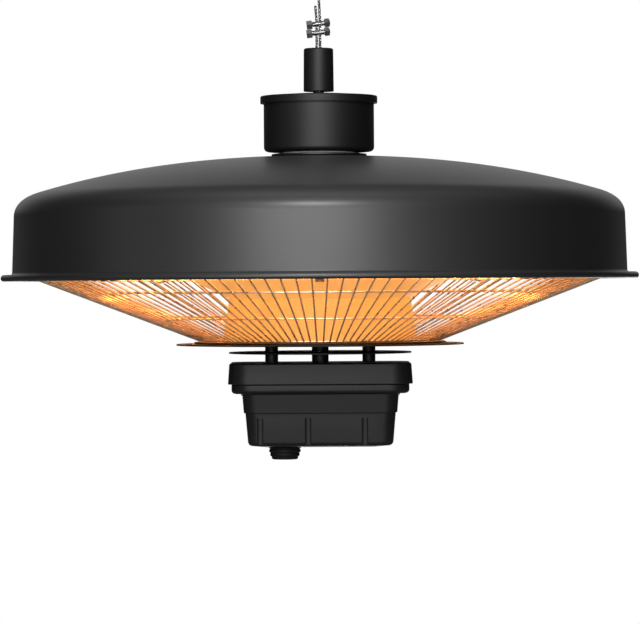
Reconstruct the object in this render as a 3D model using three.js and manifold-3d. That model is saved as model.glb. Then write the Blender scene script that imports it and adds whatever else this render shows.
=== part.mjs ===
// A hanging patio heater: a wire rope from a ceiling fitting carries a shallow steel dome with a quartz
// ring, a reflector and a wire guard, and a control box hangs below the guard on spacers.
// Millimetres, +Z up. The origin is the middle of the ceiling plate's top face.
import * as THREE from 'three';
import { mergeVertices } from 'three/addons/utils/BufferGeometryUtils.js';
import Module from 'manifold-3d';

const wasm = await Module();
wasm.setup();

// Driving dimensions. Heights are above the plane of the dome's rim, drops are below the ceiling
const clearance = 0.3; // between pieces that touch or slide on each other
const overrun = 1; // how far a cutter runs past the face that it cuts
const ceilingToRim = 262;

const ceilingPlateRadius = 20;
const ceilingPlateThickness = 3;
const ceilingScrewHoleRadius = 2.2;
const ceilingScrewSpread = 26;
const bailRodRadius = 2.2;
const bailSpread = 18;
const bailDrop = 13;
const bailCorner = 4;

const ropeRadius = 0.9;
const ropeLegSpread = 2.2; // between the middles of the two legs in a clamp
const ferruleDrop = 57;
const ferruleLength = 12;
const ferruleWidth = 6.6;
const ferruleDepth = 4.4;
const lowestClampDrop = 96.9;
const clampPitch = 5.9;
const clampLean = THREE.MathUtils.degToRad(7); // the bolts lean a little on the rope
const clampRodRadius = 1.95;
const clampRodLength = 8.2;
const clampHexAcrossFlats = 5.5;
const clampHexLength = 3.8;
const clampNutLength = 3.4;

const crownHeight = 82.5;
const crownFall = 23.55; // from the middle of the crown to its shoulder
const crownPower = 2.35;
const wallBottomRadius = 204.95;
const wallTaper = 1.35; // the wall draws in by this much towards its top
const wallTopHeight = 42.5;
const shoulderWidth = 16.6; // of the round shoulder between wall and crown
const rimWidth = 7.55;
const rimThickness = 4.3;
const domeSheet = 1.2;
const domeFacets = 40;

const topDiscRadius = 31.75;
const topDiscThickness = 1.2;
const washerRadius = 24;
const washerThickness = 0.9;

const canisterRadius = 36.85;
const canisterHeight = 35.5;
const canisterCorner = 3;
const canisterWall = 1.5;
const lidRadius = 39.1;
const lidOverlap = 3.3; // how far the lid's skirt reaches down over the canister
const lidWall = 1.4;
const lidCrown = 1.6;
const lidEdge = 0.6;
const terminalWidth = 30;
const terminalDepth = 12;
const terminalHeight = 11;
const terminalOffset = -17;
const terminalBoreRadius = 1.8;

const glandHeight = 16; // above the canister's underside
const glandBoreRadius = 3.6;
const glandThreadRadius = 6;
const glandHexAcrossFlats = 16;
const glandHexDepth = 5;
const glandCapRadius = 7.6;
const glandCapLength = 8;
const glandLockNutDepth = 3;
const glandThreadInside = 5.5;

const stemRadius = 4;
const stemBoreRadius = 2.6;
const stemNutAcrossFlats = 11.5;
const stemNutHeight = 4;
const stemHeadRadius = 5.6;
const stemHeadHeight = 3.4;
const stemStandOut = 2; // thread past a nut
const wireHoleRadius = 1.7;

const bossNeck = 1.5; // the stem's bare stretch between lid and boss
const bossHeight = 28.8;
const bossBottomRadius = 10.1;
const bossTopRadius = 9.85;
const bossEdge = 1.3;
const bossBoreRadius = 6.2;
const bossCoreWall = 1.5;
const bossFlange = 1.4;
const bossFloor = 4.4;
const bossPinRadius = 2.2;
const bossPinDepth = 8.6; // below the boss's top

const reflectorSheet = 0.8;
const reflectorNeckRadius = 61;
const reflectorNeckHeight = -12;
const reflectorMouthRadius = 86;
const reflectorMouthHeight = 0;
const reflectorShoulderRadius = 150;
const reflectorShoulderHeight = 27;
const reflectorEdgeHeight = 38;
const reflectorFlange = 5;
const drumBottomRadius = 65;

const tubeRingRadius = 135;
const tubeRadius = 6;
const tubeBoreRadius = 4.4;
const tubeDrop = 14.7; // from the reflector to the middle of the tube
const tubeSweep = THREE.MathUtils.degToRad(336);
const tubeSteps = 24;
const filamentRadius = 1.6;
const capLength = 22;
const capHeight = 17;
const capWidth = 15;
const capBlindEnd = 5;
const capCorner = 2.5;
const hangerSteps = [3, 12, 21]; // of the tube's steps
const hangerWidth = 6;
const hangerThickness = 1.2;

const guardSlope = THREE.MathUtils.degToRad(20.9);
const guardInnerRadius = 81;
const guardInnerHeight = -40;
const guardWires = 120;
const guardWireWidth = 1.2;
const guardHoopShares = [0.65, 0.28]; // of the way from the inner hoop to the outer one
const guardClipTurns = [1, 3, 5].map((sixth) => (sixth * Math.PI) / 3);
const guardClipWidth = 7;
const guardClipFoot = 13;
const guardClipSheet = 1.2;

const guardBaseRadius = 84;
const discSheet = 1;
const largeShieldRadius = 96;
const smallShieldRadius = 61;
const smallShieldTop = -48;
const stemSpacerRadius = 5.6;
const sideSpacerRadius = 4.35;
const sideSpread = 65;
const sideScrewRadius = 2;
const sideScrewHeadRadius = 3.8;
const sideScrewHeadHeight = 2.4;

const boxWall = 2;
const boxLidTopHeight = -55.3;
const boxLidHeight = 13.5;
const boxLidWidth = 122;
const boxLidDepth = 92;
const boxLidDraft = 0.9; // its sides lean in by this much towards the top
const boxLidEdge = 0.6;
const boxCorner = 14;
const flangeInset = 2.3; // the flange stands this far inside the lid's outline
const flangeHeight = 6;
const flangeEdge = 2.5;
const tubInset = 9.2;
const tubHeight = 35.8; // from the flange's underside to the middle of the floor's underside
const tubTaper = 3;
const tubStep = 1;
const tubStepDrop = 12.7; // from the flange's underside
const tubEdge = 3;
const tubFloorRise = 1.4; // of the floor's sloping border, from the flat middle to the edge
const tubFloorBorder = 12;
const grooveWidth = 4.2;
const grooveDepth = 0.9;
const grooveShares = [-0.82, -0.17, 0.6]; // of the tub's half width
const sealWidth = 2.5;
const sealCorner = 8;
const sealThickness = 1.6;
const boxPostRadius = 3.5;
const boxPostInset = 9.1; // from the lid's outline to the middle of a corner post
const tubScrewRadius = 1.5;
const tubScrewHeadRadius = 2.9;
const tubScrewHeadHeight = 1.8;
const tubScrewLength = 12;
const boardThickness = 1.6;
const boardAboveFloor = 18.2;
const boardMargin = 4;
const boardPostRadius = 3;
const boardPostInset = 6;
const relayWidth = 28;
const relayDepth = 13;
const relayHeight = 15;
const relayX = 14;
const relayY = 12;
const relayCorner = 1;

const buttonX = -24;
const buttonRadius = 10.8;
const buttonDrop = 8.9; // how far the button stands out below the tub
const buttonTipRadius = 8.6;
const buttonTravel = 2.5;
const buttonGroove = 0.9;
const buttonRidges = 3;
const buttonFlange = 1.6;
const buttonFlangeHeight = 1.2;
const buttonPostRadius = 2;
const buttonPostEntry = 1.5; // in the switch at rest
const switchWidth = 18;
const switchCorner = 1;
const switchGap = 6.6; // from the floor's inner face to the switch
const receiverX = 22;
const receiverRadius = 5;
const receiverFlange = 1.5;
const receiverLength = 9;

// Facets of round pieces, fewest on screws and posts
const screwFacets = 8;
const smallFacets = 12;
const midFacets = 16;
const largeFacets = 24;
const hoopFacets = 36;

// Radii and heights that follow from the pieces inside, below and above
const wallTopRadius = wallBottomRadius - wallTaper;
const crownRadius = wallTopRadius - shoulderWidth;
const rimRadius = wallBottomRadius + rimWidth;
const topDiscBottom = crownHeight + clearance;
const washerBottom = topDiscBottom + topDiscThickness + clearance;
const canisterBottom = washerBottom + washerThickness + clearance;
const canisterTop = canisterBottom + canisterHeight;
const lidCeiling = canisterTop + clearance;
const lidTop = lidCeiling + lidWall + lidCrown;
const bossBottom = lidTop + bossNeck;
const bossTop = bossBottom + bossHeight;
const bossFloorTop = bossBottom + clearance + bossFloor;
const bossPinHeight = bossTop - bossPinDepth;
const stemTop = bossFloorTop + clearance + stemHeadHeight + stemStandOut;
const guardHalf = guardWireWidth / 2;
const guardBaseTop = guardInnerHeight - guardHalf * (Math.cos(guardSlope) + Math.sin(guardSlope)) - clearance;
const largeShieldTop = guardBaseTop - discSheet - clearance;
const boxCeiling = boxLidTopHeight - boxWall;
const stemBottom = boxCeiling - clearance - stemNutHeight - stemStandOut;
const boxLidBottom = boxLidTopHeight - boxLidHeight;
const flangeTop = boxLidBottom - clearance;
const flangeBottom = flangeTop - flangeHeight;
const tubBottom = flangeBottom - tubHeight;
const tubFloor = tubBottom + boxWall;
const boardBottom = tubFloor + boardAboveFloor;
const stemHoleRadius = stemRadius + clearance;

// Materials
const finish = (color, roughness, metalness) =>
  new THREE.MeshStandardMaterial({ color, roughness, metalness });
const satinBlack = finish(0x1b1b1c, 0.42, 0.35);
const blackPlastic = finish(0x1f1f20, 0.55, 0);
const blackRubber = finish(0x161616, 0.8, 0);
const zinc = finish(0x9b9da0, 0.35, 0.9);
const ropeSteel = finish(0x8a8c8f, 0.45, 0.85);
const polished = finish(0xd8d6d0, 0.18, 1);
const guardBlack = finish(0x232120, 0.4, 0.5);
const paleFibre = finish(0xd6d4cf, 0.7, 0);
const ceramic = finish(0xe8e2d4, 0.6, 0);
const quartz = finish(0xff8a3c, 0.15, 0);
const filamentMetal = finish(0xffc46a, 0.5, 0.2);
const boardGreen = finish(0x2d5b3a, 0.5, 0);
const relayBlue = finish(0x2b4f86, 0.4, 0);
const receiverTint = finish(0x2a0f12, 0.1, 0);

const model = new THREE.Group();
const heater = new THREE.Group(); // its zero height is the plane of the rim
heater.position.z = -ceilingToRim;
model.add(heater);

function place(group, name, geometry, material) {
  const mesh = new THREE.Mesh(geometry, material);
  mesh.name = name;
  group.add(mesh);
}

// A closed mesh as a solid that can be cut and joined, and back
function solid(geometry) {
  const bare = geometry.clone();
  bare.deleteAttribute('normal');
  bare.deleteAttribute('uv');
  const merged = mergeVertices(bare);
  const vertProperties = merged.attributes.position.array;
  const triVerts = new Uint32Array(merged.index.array);
  return new wasm.Manifold(new wasm.Mesh({ numProp: 3, vertProperties, triVerts }));
}

function fromSolid(body) {
  const mesh = body.getMesh();
  const geometry = new THREE.BufferGeometry();
  geometry.setAttribute('position', new THREE.BufferAttribute(mesh.vertProperties, mesh.numProp));
  geometry.setIndex(new THREE.BufferAttribute(mesh.triVerts, 1));
  const faceted = geometry.toNonIndexed();
  faceted.computeVertexNormals();
  return faceted;
}

const cut = (geometry, ...tools) =>
  fromSolid(tools.reduce((body, tool) => body.subtract(solid(tool)), solid(geometry)));
const join = (geometry, ...others) =>
  fromSolid(others.reduce((body, other) => body.add(solid(other)), solid(geometry)));

// A closed profile of [radius, height] points turned round the Z axis, whichever way it runs
function turned(profile, facets = largeFacets) {
  const points = profile.map(([radius, height]) => new THREE.Vector2(radius, height));
  if (THREE.ShapeUtils.area(points) < 0) points.reverse();
  const next = (i) => points[(i + 1) % points.length];
  const lastOnAxis = points.findIndex((point, i) => point.x === 0 && next(i).x === 0);
  if (lastOnAxis >= 0) points.push(...points.splice(0, lastOnAxis + 1));
  else points.push(points[0].clone());
  return new THREE.LatheGeometry(points, facets).rotateX(Math.PI / 2);
}

const ring = (outer, inner, bottom, top, facets) =>
  turned([[inner, bottom], [outer, bottom], [outer, top], [inner, top]], facets);
const rod = (radius, bottom, top, facets = smallFacets) =>
  turned([[0, bottom], [radius, bottom], [radius, top], [0, top]], facets);

// A quarter arc of [radius, height] points round a centre, from one angle to the next
const arc = (radius, height, size, from, to, steps = 3) =>
  Array.from({ length: steps + 1 }, (_, i) => {
    const angle = from + ((to - from) * i) / steps;
    return [radius + size * Math.cos(angle), height + size * Math.sin(angle)];
  });

// The corners of a regular polygon, the first of them on the X axis
const ngon = (radius, sides, x = 0, y = 0) =>
  Array.from({ length: sides }, (_, i) => (2 * Math.PI * i) / sides).map(
    (angle) => new THREE.Vector2(x + radius * Math.cos(angle), y + radius * Math.sin(angle)),
  );
const hole = (radius, x = 0, y = 0) => new THREE.Path(ngon(radius, smallFacets, x, y));

function roundedCorners(width, depth, radius, steps = 3) {
  const corners = [[1, 1], [-1, 1], [-1, -1], [1, -1]];
  return corners.flatMap(([sideX, sideY], quarter) =>
    Array.from({ length: steps + 1 }, (_, i) => {
      const angle = (quarter + i / steps) * (Math.PI / 2);
      return new THREE.Vector2(
        sideX * (width / 2 - radius) + radius * Math.cos(angle),
        sideY * (depth / 2 - radius) + radius * Math.sin(angle),
      );
    }),
  );
}

// A flat outline pushed up along Z
function slab(outline, bottom, top, holes = []) {
  const shape = new THREE.Shape(outline);
  shape.holes = holes;
  const options = { depth: top - bottom, bevelEnabled: false };
  return new THREE.ExtrudeGeometry(shape, options).translate(0, 0, bottom);
}

const hexagon = (acrossFlats, bottom, top, boreRadius) =>
  slab(ngon(acrossFlats / Math.sqrt(3), 6), bottom, top, boreRadius ? [hole(boreRadius)] : []);
const block = (width, depth, bottom, top) =>
  new THREE.BoxGeometry(width, depth, top - bottom).translate(0, 0, (bottom + top) / 2);

// A solid through rounded rectangles stacked along Z, each [width, depth, corner, height], lowest first
function stacked(levels) {
  const rings = levels.map(([width, depth, corner, height]) =>
    roundedCorners(width, depth, corner).map((point) => [point.x, point.y, height]),
  );
  const count = rings[0].length;
  const index = [];
  for (let level = 0; level + 1 < rings.length; level++)
    for (let i = 0; i < count; i++) {
      const a = level * count + i;
      const b = level * count + ((i + 1) % count);
      index.push(a, b, b + count, a, b + count, a + count);
    }
  const last = (rings.length - 1) * count;
  for (let i = 1; i + 1 < count; i++) index.push(0, i + 1, i, last, last + i, last + i + 1);
  const geometry = new THREE.BufferGeometry();
  geometry.setAttribute('position', new THREE.Float32BufferAttribute(rings.flat(2), 3));
  geometry.setIndex(index);
  return geometry.toNonIndexed();
}

// A round section swept along a path, solid or with a bore
function swept(path, radius, steps, sides, boreRadius, boreSides) {
  const shape = new THREE.Shape(ngon(radius, sides));
  if (boreRadius) shape.holes.push(new THREE.Path(ngon(boreRadius, boreSides)));
  return new THREE.ExtrudeGeometry(shape, { steps, extrudePath: path, bevelEnabled: false });
}

// Ceiling plate and bail. The bail is a bent rod whose two legs stand in the plate
function makeCeilingFitting() {
  const halfSpread = bailSpread / 2;
  const legHole = bailRodRadius + clearance;
  const screwY = ceilingScrewSpread / 2;
  const holes = [
    hole(legHole, halfSpread), hole(legHole, -halfSpread),
    hole(ceilingScrewHoleRadius, 0, screwY), hole(ceilingScrewHoleRadius, 0, -screwY),
  ];
  const plate = slab(ngon(ceilingPlateRadius, largeFacets), -ceilingPlateThickness, 0, holes);
  place(model, 'ceiling_plate', plate, zinc);

  const at = (x, z) => new THREE.Vector3(x, 0, z);
  const bendTop = bailCorner - bailDrop;
  const bendSide = halfSpread - bailCorner;
  const path = new THREE.CurvePath();
  path.add(new THREE.LineCurve3(at(-halfSpread, -clearance), at(-halfSpread, bendTop)));
  path.add(new THREE.QuadraticBezierCurve3(
    at(-halfSpread, bendTop), at(-halfSpread, -bailDrop), at(-bendSide, -bailDrop),
  ));
  path.add(new THREE.LineCurve3(at(-bendSide, -bailDrop), at(bendSide, -bailDrop)));
  path.add(new THREE.QuadraticBezierCurve3(
    at(bendSide, -bailDrop), at(halfSpread, -bailDrop), at(halfSpread, bendTop),
  ));
  path.add(new THREE.LineCurve3(at(halfSpread, bendTop), at(halfSpread, -clearance)));
  place(model, 'ceiling_bail', swept(path, bailRodRadius, 16, 10), zinc);
}

// The rope's route: its dead end, down through the lower clamps, round the boss pin, up through the clamps
// and the ferrule, over the bail and back down to the other dead end
const ropeRoute = [
  [-1.9, 0, -79], [-1.6, 0, -83], [-1.2, 0, -88], [-1.1, 0, -92], [-1.1, 0, -97], [-1.1, 0, -102],
  [-1.2, 0, -106.5], [-2.9, 0, -111.3], [-4, 0, -115.4], [-2.83, 0, -118.3], [0, 0, -119.5],
  [2.83, 0, -118.3], [4, 0, -115.4], [2.9, 0, -111.3], [1.2, 0, -106.5], [1.1, 0, -102], [1.1, 0, -97],
  [1.1, 0, -92], [1, 0.1, -87], [0.6, 0.7, -78], [0.1, 1.1, -68], [0, 1.1, -61], [0, 1.1, -53],
  [0, 1.2, -46], [0, 1.8, -36], [0, 3, -24], [0, 4, -13.6], [0, 2.83, -10.7], [0, 0, -9.5],
  [0, -2.83, -10.7], [0, -4, -13.6], [0, -3, -24], [0, -1.8, -36], [0, -1.2, -46], [0, -1.1, -53],
  [0, -1.1, -61], [0.1, -1.2, -66], [0.4, -1.6, -70],
];

function makeRope() {
  const path = new THREE.CatmullRomCurve3(ropeRoute.map((point) => new THREE.Vector3(...point)));
  place(model, 'wire_rope', swept(path, ropeRadius, 56, 8), ropeSteel);
}

// The pressed sleeve that closes the upper loop, an oval with one bore for both legs
function makeFerrule() {
  const half = ferruleLength / 2;
  const bore = ropeRadius + clearance;
  const outside = roundedCorners(ferruleDepth, ferruleWidth, ferruleDepth / 2);
  const inside = roundedCorners(2 * bore, ropeLegSpread + 2 * bore, bore * Math.cos(Math.PI / smallFacets));
  const sleeve = slab(outside, -ferruleDrop - half, half - ferruleDrop, [new THREE.Path(inside)]);
  place(model, 'upper_ferrule', sleeve, zinc);
}

// A clamp is a cross-drilled bolt: both legs of the rope pass through its slot and the nut closes on them
function makeClamp(number, drop) {
  const group = new THREE.Group();
  group.position.z = -drop;
  group.rotation.y = -clampLean;
  model.add(group);
  const half = clampRodLength / 2;
  const acrossTheRope = (geometry) => geometry.rotateZ(Math.PI / 6).rotateY(Math.PI / 2); // flats on top
  const head = acrossTheRope(hexagon(clampHexAcrossFlats, -half - clampHexLength, -half));
  const shank = acrossTheRope(rod(clampRodRadius, -half - clearance, half + clampHexLength));
  const reach = clampRodRadius + overrun;
  const slotWidth = ropeLegSpread + 2 * ropeRadius + 4 * clearance;
  const slot = block(slotWidth, 2 * (ropeRadius + clearance), -reach, reach);
  place(group, `lower_clamp_${number}_bolt`, cut(join(head, shank), slot), zinc);
  const nut = hexagon(clampHexAcrossFlats, half, half + clampNutLength, clampRodRadius + clearance);
  place(group, `lower_clamp_${number}_nut`, acrossTheRope(nut), zinc);
}

// The hanger boss: a cover over a steel cup, whose cross pin carries the loop of the rope
function makeBoss() {
  const coreRadius = bossBoreRadius + bossCoreWall;
  const coverBore = coreRadius + clearance;
  const flangeUnderside = bossTop - bossFlange;
  const sleeve = turned([
    [bossBottomRadius, bossBottom],
    ...arc(bossTopRadius - bossEdge, bossTop - bossEdge, bossEdge, 0, Math.PI / 2),
    [bossBoreRadius, bossTop],
    [bossBoreRadius, flangeUnderside],
    [coverBore, flangeUnderside],
    [coverBore, bossBottom],
  ], midFacets);
  place(heater, 'boss_sleeve', sleeve, satinBlack);

  const coreBottom = bossBottom + clearance;
  const coreTop = flangeUnderside - clearance;
  const cup = turned([
    [stemHoleRadius, coreBottom],
    [coreRadius, coreBottom],
    [coreRadius, coreTop],
    [bossBoreRadius, coreTop],
    [bossBoreRadius, bossFloorTop],
    [stemHoleRadius, bossFloorTop],
  ], midFacets);
  const crossways = (geometry) => geometry.rotateX(Math.PI / 2).translate(0, 0, bossPinHeight);
  const reach = coreRadius + overrun;
  const pinHole = crossways(rod(bossPinRadius + clearance, -reach, reach));
  place(heater, 'boss_core', cut(cup, pinHole), zinc);
  const pinReach = Math.sqrt(coreRadius ** 2 - bossPinRadius ** 2);
  place(heater, 'boss_pin', crossways(rod(bossPinRadius, -pinReach, pinReach)), zinc);
}

// The hollow threaded stem that everything from the boss to the control box is strung on, and its nuts
function makeStem() {
  const tube = ring(stemRadius, stemBoreRadius, stemBottom, stemTop, smallFacets);
  const sideways = (height) =>
    rod(wireHoleRadius, 0, stemRadius + overrun).rotateX(Math.PI / 2).translate(0, 0, height);
  const inCanister = canisterBottom + canisterHeight / 2;
  const inDome = (reflectorNeckHeight + crownHeight) / 2;
  place(heater, 'centre_stem', cut(tube, sideways(inCanister), sideways(inDome)), zinc);

  const head = ring(stemHeadRadius, stemHoleRadius, bossFloorTop + clearance,
    bossFloorTop + clearance + stemHeadHeight, smallFacets);
  place(heater, 'stem_head_nut', head, zinc);
  const nut = (bottom) => hexagon(stemNutAcrossFlats, bottom, bottom + stemNutHeight, stemHoleRadius);
  const canisterFloor = canisterBottom + canisterWall;
  place(heater, 'stem_canister_nut', nut(canisterFloor + clearance), zinc);
  place(heater, 'stem_dome_nut', nut(crownHeight - domeSheet - clearance - stemNutHeight), zinc);
  place(heater, 'stem_box_nut', nut(boxCeiling - clearance - stemNutHeight), zinc);
}

// The terminal canister with its lid, and the gland at its back where the mains lead enters
function makeCanister() {
  const inner = canisterRadius - canisterWall;
  const skirtInside = canisterRadius + clearance;
  const lidEdgeTop = lidCeiling + lidWall - lidEdge;
  const halfway = (stemHoleRadius + lidRadius) / 2;
  const lid = turned([
    [stemHoleRadius, lidTop],
    [halfway, lidTop - lidCrown / 4],
    [lidRadius - lidEdge - lidCrown, lidEdgeTop + lidEdge],
    ...arc(lidRadius - lidEdge, lidEdgeTop, lidEdge, Math.PI / 2, 0, 2),
    [lidRadius, canisterTop - lidOverlap],
    [skirtInside, canisterTop - lidOverlap],
    [skirtInside, lidCeiling],
    [halfway, lidTop - lidCrown / 4 - lidWall],
    [stemHoleRadius, lidTop - lidWall],
  ]);
  place(heater, 'canister_lid', lid, satinBlack);

  const cup = turned([
    [stemHoleRadius, canisterBottom],
    ...arc(canisterRadius - canisterCorner, canisterBottom + canisterCorner, canisterCorner, -Math.PI / 2, 0),
    [canisterRadius, canisterTop],
    [inner, canisterTop],
    [inner, canisterBottom + canisterCorner],
    [inner - canisterWall, canisterBottom + canisterWall],
    [stemHoleRadius, canisterBottom + canisterWall],
  ]);
  // Along +Y, through the back wall
  const backwards = (geometry) =>
    geometry.rotateX(-Math.PI / 2).translate(0, 0, canisterBottom + glandHeight);
  const glandHole = backwards(rod(glandThreadRadius + clearance, inner - canisterWall - overrun,
    canisterRadius + overrun));
  place(heater, 'canister_body', cut(cup, glandHole), satinBlack);

  const terminal = block(terminalWidth, terminalDepth, canisterBottom + canisterWall + clearance,
    canisterBottom + canisterWall + terminalHeight).translate(0, terminalOffset, 0);
  const wayHeight = canisterBottom + canisterWall + terminalHeight / 2;
  const ways = [-1, 0, 1].map((side) =>
    rod(terminalBoreRadius, -terminalDepth, terminalDepth).rotateX(Math.PI / 2)
      .translate((side * terminalWidth) / 3, terminalOffset, wayHeight));
  place(heater, 'terminal_block', cut(terminal, ...ways), ceramic);

  const seat = canisterRadius + clearance;
  const capStart = seat + glandHexDepth;
  const bore = rod(glandBoreRadius, 0, capStart + glandCapLength + overrun);
  const thread = rod(glandThreadRadius, inner - glandThreadInside, seat + clearance);
  const hex = hexagon(glandHexAcrossFlats, seat, capStart);
  const cap = turned([
    [0, capStart - clearance],
    [glandCapRadius, capStart - clearance],
    [glandCapRadius, capStart + glandCapLength / 2],
    [(glandCapRadius + glandBoreRadius) / 2, capStart + glandCapLength],
    [0, capStart + glandCapLength],
  ], smallFacets);
  place(heater, 'cable_gland', backwards(cut(join(thread, hex, cap), bore)), blackPlastic);
  const flatInside = Math.sqrt(inner ** 2 - (glandHexAcrossFlats / Math.sqrt(3)) ** 2);
  const lockNut = hexagon(glandHexAcrossFlats, flatInside - clearance - glandLockNutDepth,
    flatInside - clearance, glandThreadRadius + clearance);
  place(heater, 'gland_lock_nut', backwards(lockNut), blackPlastic);
}

// The dome's line from its middle to the foot of its wall, moved in by a sheet's thickness for the inside
function domeLine(inset, crownShares, cornerSteps) {
  const crownAt = (radius) => crownHeight - crownFall * (radius / crownRadius) ** crownPower;
  const shoulder = new THREE.Vector2(crownRadius, crownAt(crownRadius));
  const slope = (crownFall * crownPower) / crownRadius;
  const corner = new THREE.Vector2(wallTopRadius, shoulder.y - slope * (wallTopRadius - crownRadius));
  const wallTop = new THREE.Vector2(wallTopRadius, wallTopHeight);
  const turn = new THREE.QuadraticBezierCurve(shoulder, corner, wallTop).getPoints(cornerSteps);
  return [
    [stemHoleRadius, crownAt(stemHoleRadius) - inset],
    ...crownShares.map((share) => [share * crownRadius, crownAt(share * crownRadius) - inset]),
    ...turn.map((point) => [
      point.x - inset * ((point.x - crownRadius) / (wallTopRadius - crownRadius)),
      point.y - inset * ((wallTopRadius - point.x) / (wallTopRadius - crownRadius)),
    ]),
  ];
}

// The inner face of the dome's wall at a height
const wallInsideAt = (height) =>
  wallBottomRadius - domeSheet + ((wallTopRadius - wallBottomRadius) * height) / wallTopHeight;

function makeDome() {
  const bead = rimThickness / 2;
  const outerShares = [0.35, 0.62, 0.85];
  const innerShares = [0.4, 0.75];
  const shell = turned([
    ...domeLine(0, outerShares, 4),
    [wallBottomRadius, rimThickness],
    ...arc(rimRadius - bead, bead, bead, Math.PI / 2, -Math.PI / 2, 4),
    [rimRadius - rimThickness + domeSheet, bead],
    [rimRadius - rimThickness, rimThickness - domeSheet],
    [wallInsideAt(rimThickness), rimThickness - domeSheet],
    ...domeLine(domeSheet, innerShares, 2).reverse(),
  ], domeFacets);
  place(heater, 'dome_shell', shell, satinBlack);
  const disc = ring(topDiscRadius, stemHoleRadius, topDiscBottom, topDiscBottom + topDiscThickness);
  place(heater, 'top_disc', disc, satinBlack);
  const washer = ring(washerRadius, stemHoleRadius, washerBottom, washerBottom + washerThickness,
    midFacets);
  place(heater, 'insulating_washer', washer, paleFibre);
}

// The reflector: a polished cone that closes the dome, and the drum that stands on the guard's base plate
const reflectorLine = [
  [reflectorNeckRadius, reflectorNeckHeight],
  [reflectorMouthRadius, reflectorMouthHeight],
  [reflectorShoulderRadius, reflectorShoulderHeight],
];
const reflectorEdgeRadius = wallInsideAt(reflectorEdgeHeight) * Math.cos(Math.PI / domeFacets) - clearance;

function makeReflector() {
  const up = ([radius, height]) => [radius, height + reflectorSheet];
  const inside = reflectorEdgeRadius - reflectorSheet;
  const cone = turned([
    ...reflectorLine,
    [inside, reflectorEdgeHeight],
    [inside, reflectorEdgeHeight - reflectorFlange],
    [reflectorEdgeRadius, reflectorEdgeHeight - reflectorFlange],
    [reflectorEdgeRadius, reflectorEdgeHeight + reflectorSheet],
    ...reflectorLine.map(up).reverse(),
  ], hoopFacets);
  place(heater, 'reflector_cone', cone, polished);

  const drumTopRadius = reflectorNeckRadius - clearance;
  const drumTop = reflectorNeckHeight + 2 * reflectorSheet;
  const drumShoulder = reflectorNeckHeight - reflectorSheet;
  const drumBottom = guardBaseTop + clearance;
  const drum = turned([
    [drumBottomRadius, drumBottom],
    [drumTopRadius, drumShoulder],
    [drumTopRadius, drumTop],
    [drumTopRadius - reflectorSheet, drumTop],
    [drumTopRadius - reflectorSheet, drumShoulder],
    [drumBottomRadius - reflectorSheet, drumBottom],
  ], hoopFacets);
  place(heater, 'reflector_drum', drum, polished);
}

// The underside of the reflector at a radius
function reflectorAt(radius) {
  const [low, high] = radius < reflectorMouthRadius ? reflectorLine.slice(0, 2) : reflectorLine.slice(1);
  return low[1] + ((high[1] - low[1]) * (radius - low[0])) / (high[0] - low[0]);
}

const tubeHeight = reflectorAt(tubeRingRadius) - tubeDrop;

// The heating ring: a quartz tube bent round most of a circle, open at the back, with its filament inside
class RingArc extends THREE.Curve {
  constructor(sweep) {
    super();
    this.sweep = sweep;
  }
  getPoint(share) {
    const angle = Math.PI / 2 + (2 * Math.PI - this.sweep) / 2 + share * this.sweep;
    return new THREE.Vector3(tubeRingRadius * Math.cos(angle), tubeRingRadius * Math.sin(angle), tubeHeight);
  }
}

function makeHeatingRing() {
  const path = new RingArc(tubeSweep);
  place(heater, 'quartz_tube', swept(path, tubeRadius, tubeSteps, 8, tubeBoreRadius, 6), quartz);
  place(heater, 'heating_filament', swept(path, filamentRadius, tubeSteps, 4), filamentMetal);

  const outline = roundedCorners(capWidth, capHeight, capCorner, 2);
  const endSkew = tubeRadius * Math.sin(tubeSweep / tubeSteps / 2); // the tube's end face isn't quite square
  for (const [name, end, before] of [['left', 0, 1 / tubeSteps], ['right', 1, 1 - 1 / tubeSteps]]) {
    const tip = path.getPoint(end);
    const outward = tip.clone().sub(path.getPoint(before)).normalize();
    const bore = rod(tubeRadius + 2 * clearance, capBlindEnd, capLength + overrun);
    const cap = cut(slab(outline, 0, capLength), bore);
    const inward = outward.clone().negate();
    const up = new THREE.Vector3(0, 0, 1);
    const frame = new THREE.Matrix4().makeBasis(up.clone().cross(inward), up, inward);
    frame.setPosition(tip.addScaledVector(outward, capBlindEnd + clearance + endSkew));
    place(heater, `end_cap_${name}`, cap.applyMatrix4(frame), ceramic);
  }

  // Each hanger is a loop round the tube on a strap that reaches up to the reflector
  hangerSteps.forEach((step, i) => {
    const loopInside = tubeRadius + 2 * clearance;
    const loopOutside = loopInside + hangerThickness;
    const half = hangerWidth / 2;
    const loop = ring(loopOutside, loopInside, -half, half, smallFacets).rotateX(Math.PI / 2);
    const strapTop = reflectorAt(tubeRingRadius - hangerThickness / 2) - clearance - tubeHeight;
    const strap = block(hangerThickness, hangerWidth, (loopInside + loopOutside) / 2, strapTop);
    const { x, y } = path.getPoint(step / tubeSteps);
    const hanger = join(loop, strap).translate(tubeRingRadius, 0, tubeHeight).rotateZ(Math.atan2(y, x));
    place(heater, `tube_hanger_${i + 1}`, hanger, zinc);
  });
}

// The wire guard, one welded lattice. Every wire runs straight from the outer hoop to the inner one, and a
// bar's section is a triangle with its flat side out. Where a wire meets a hoop the two share a knot: four
// corners on the outer face and one point inside
const guardOuterRadius = wallInsideAt(0) * Math.cos(Math.PI / domeFacets) - clearance - 2 * guardHalf;
const guardHeightAt = (radius) => guardInnerHeight + (radius - guardInnerRadius) * Math.tan(guardSlope);

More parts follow.
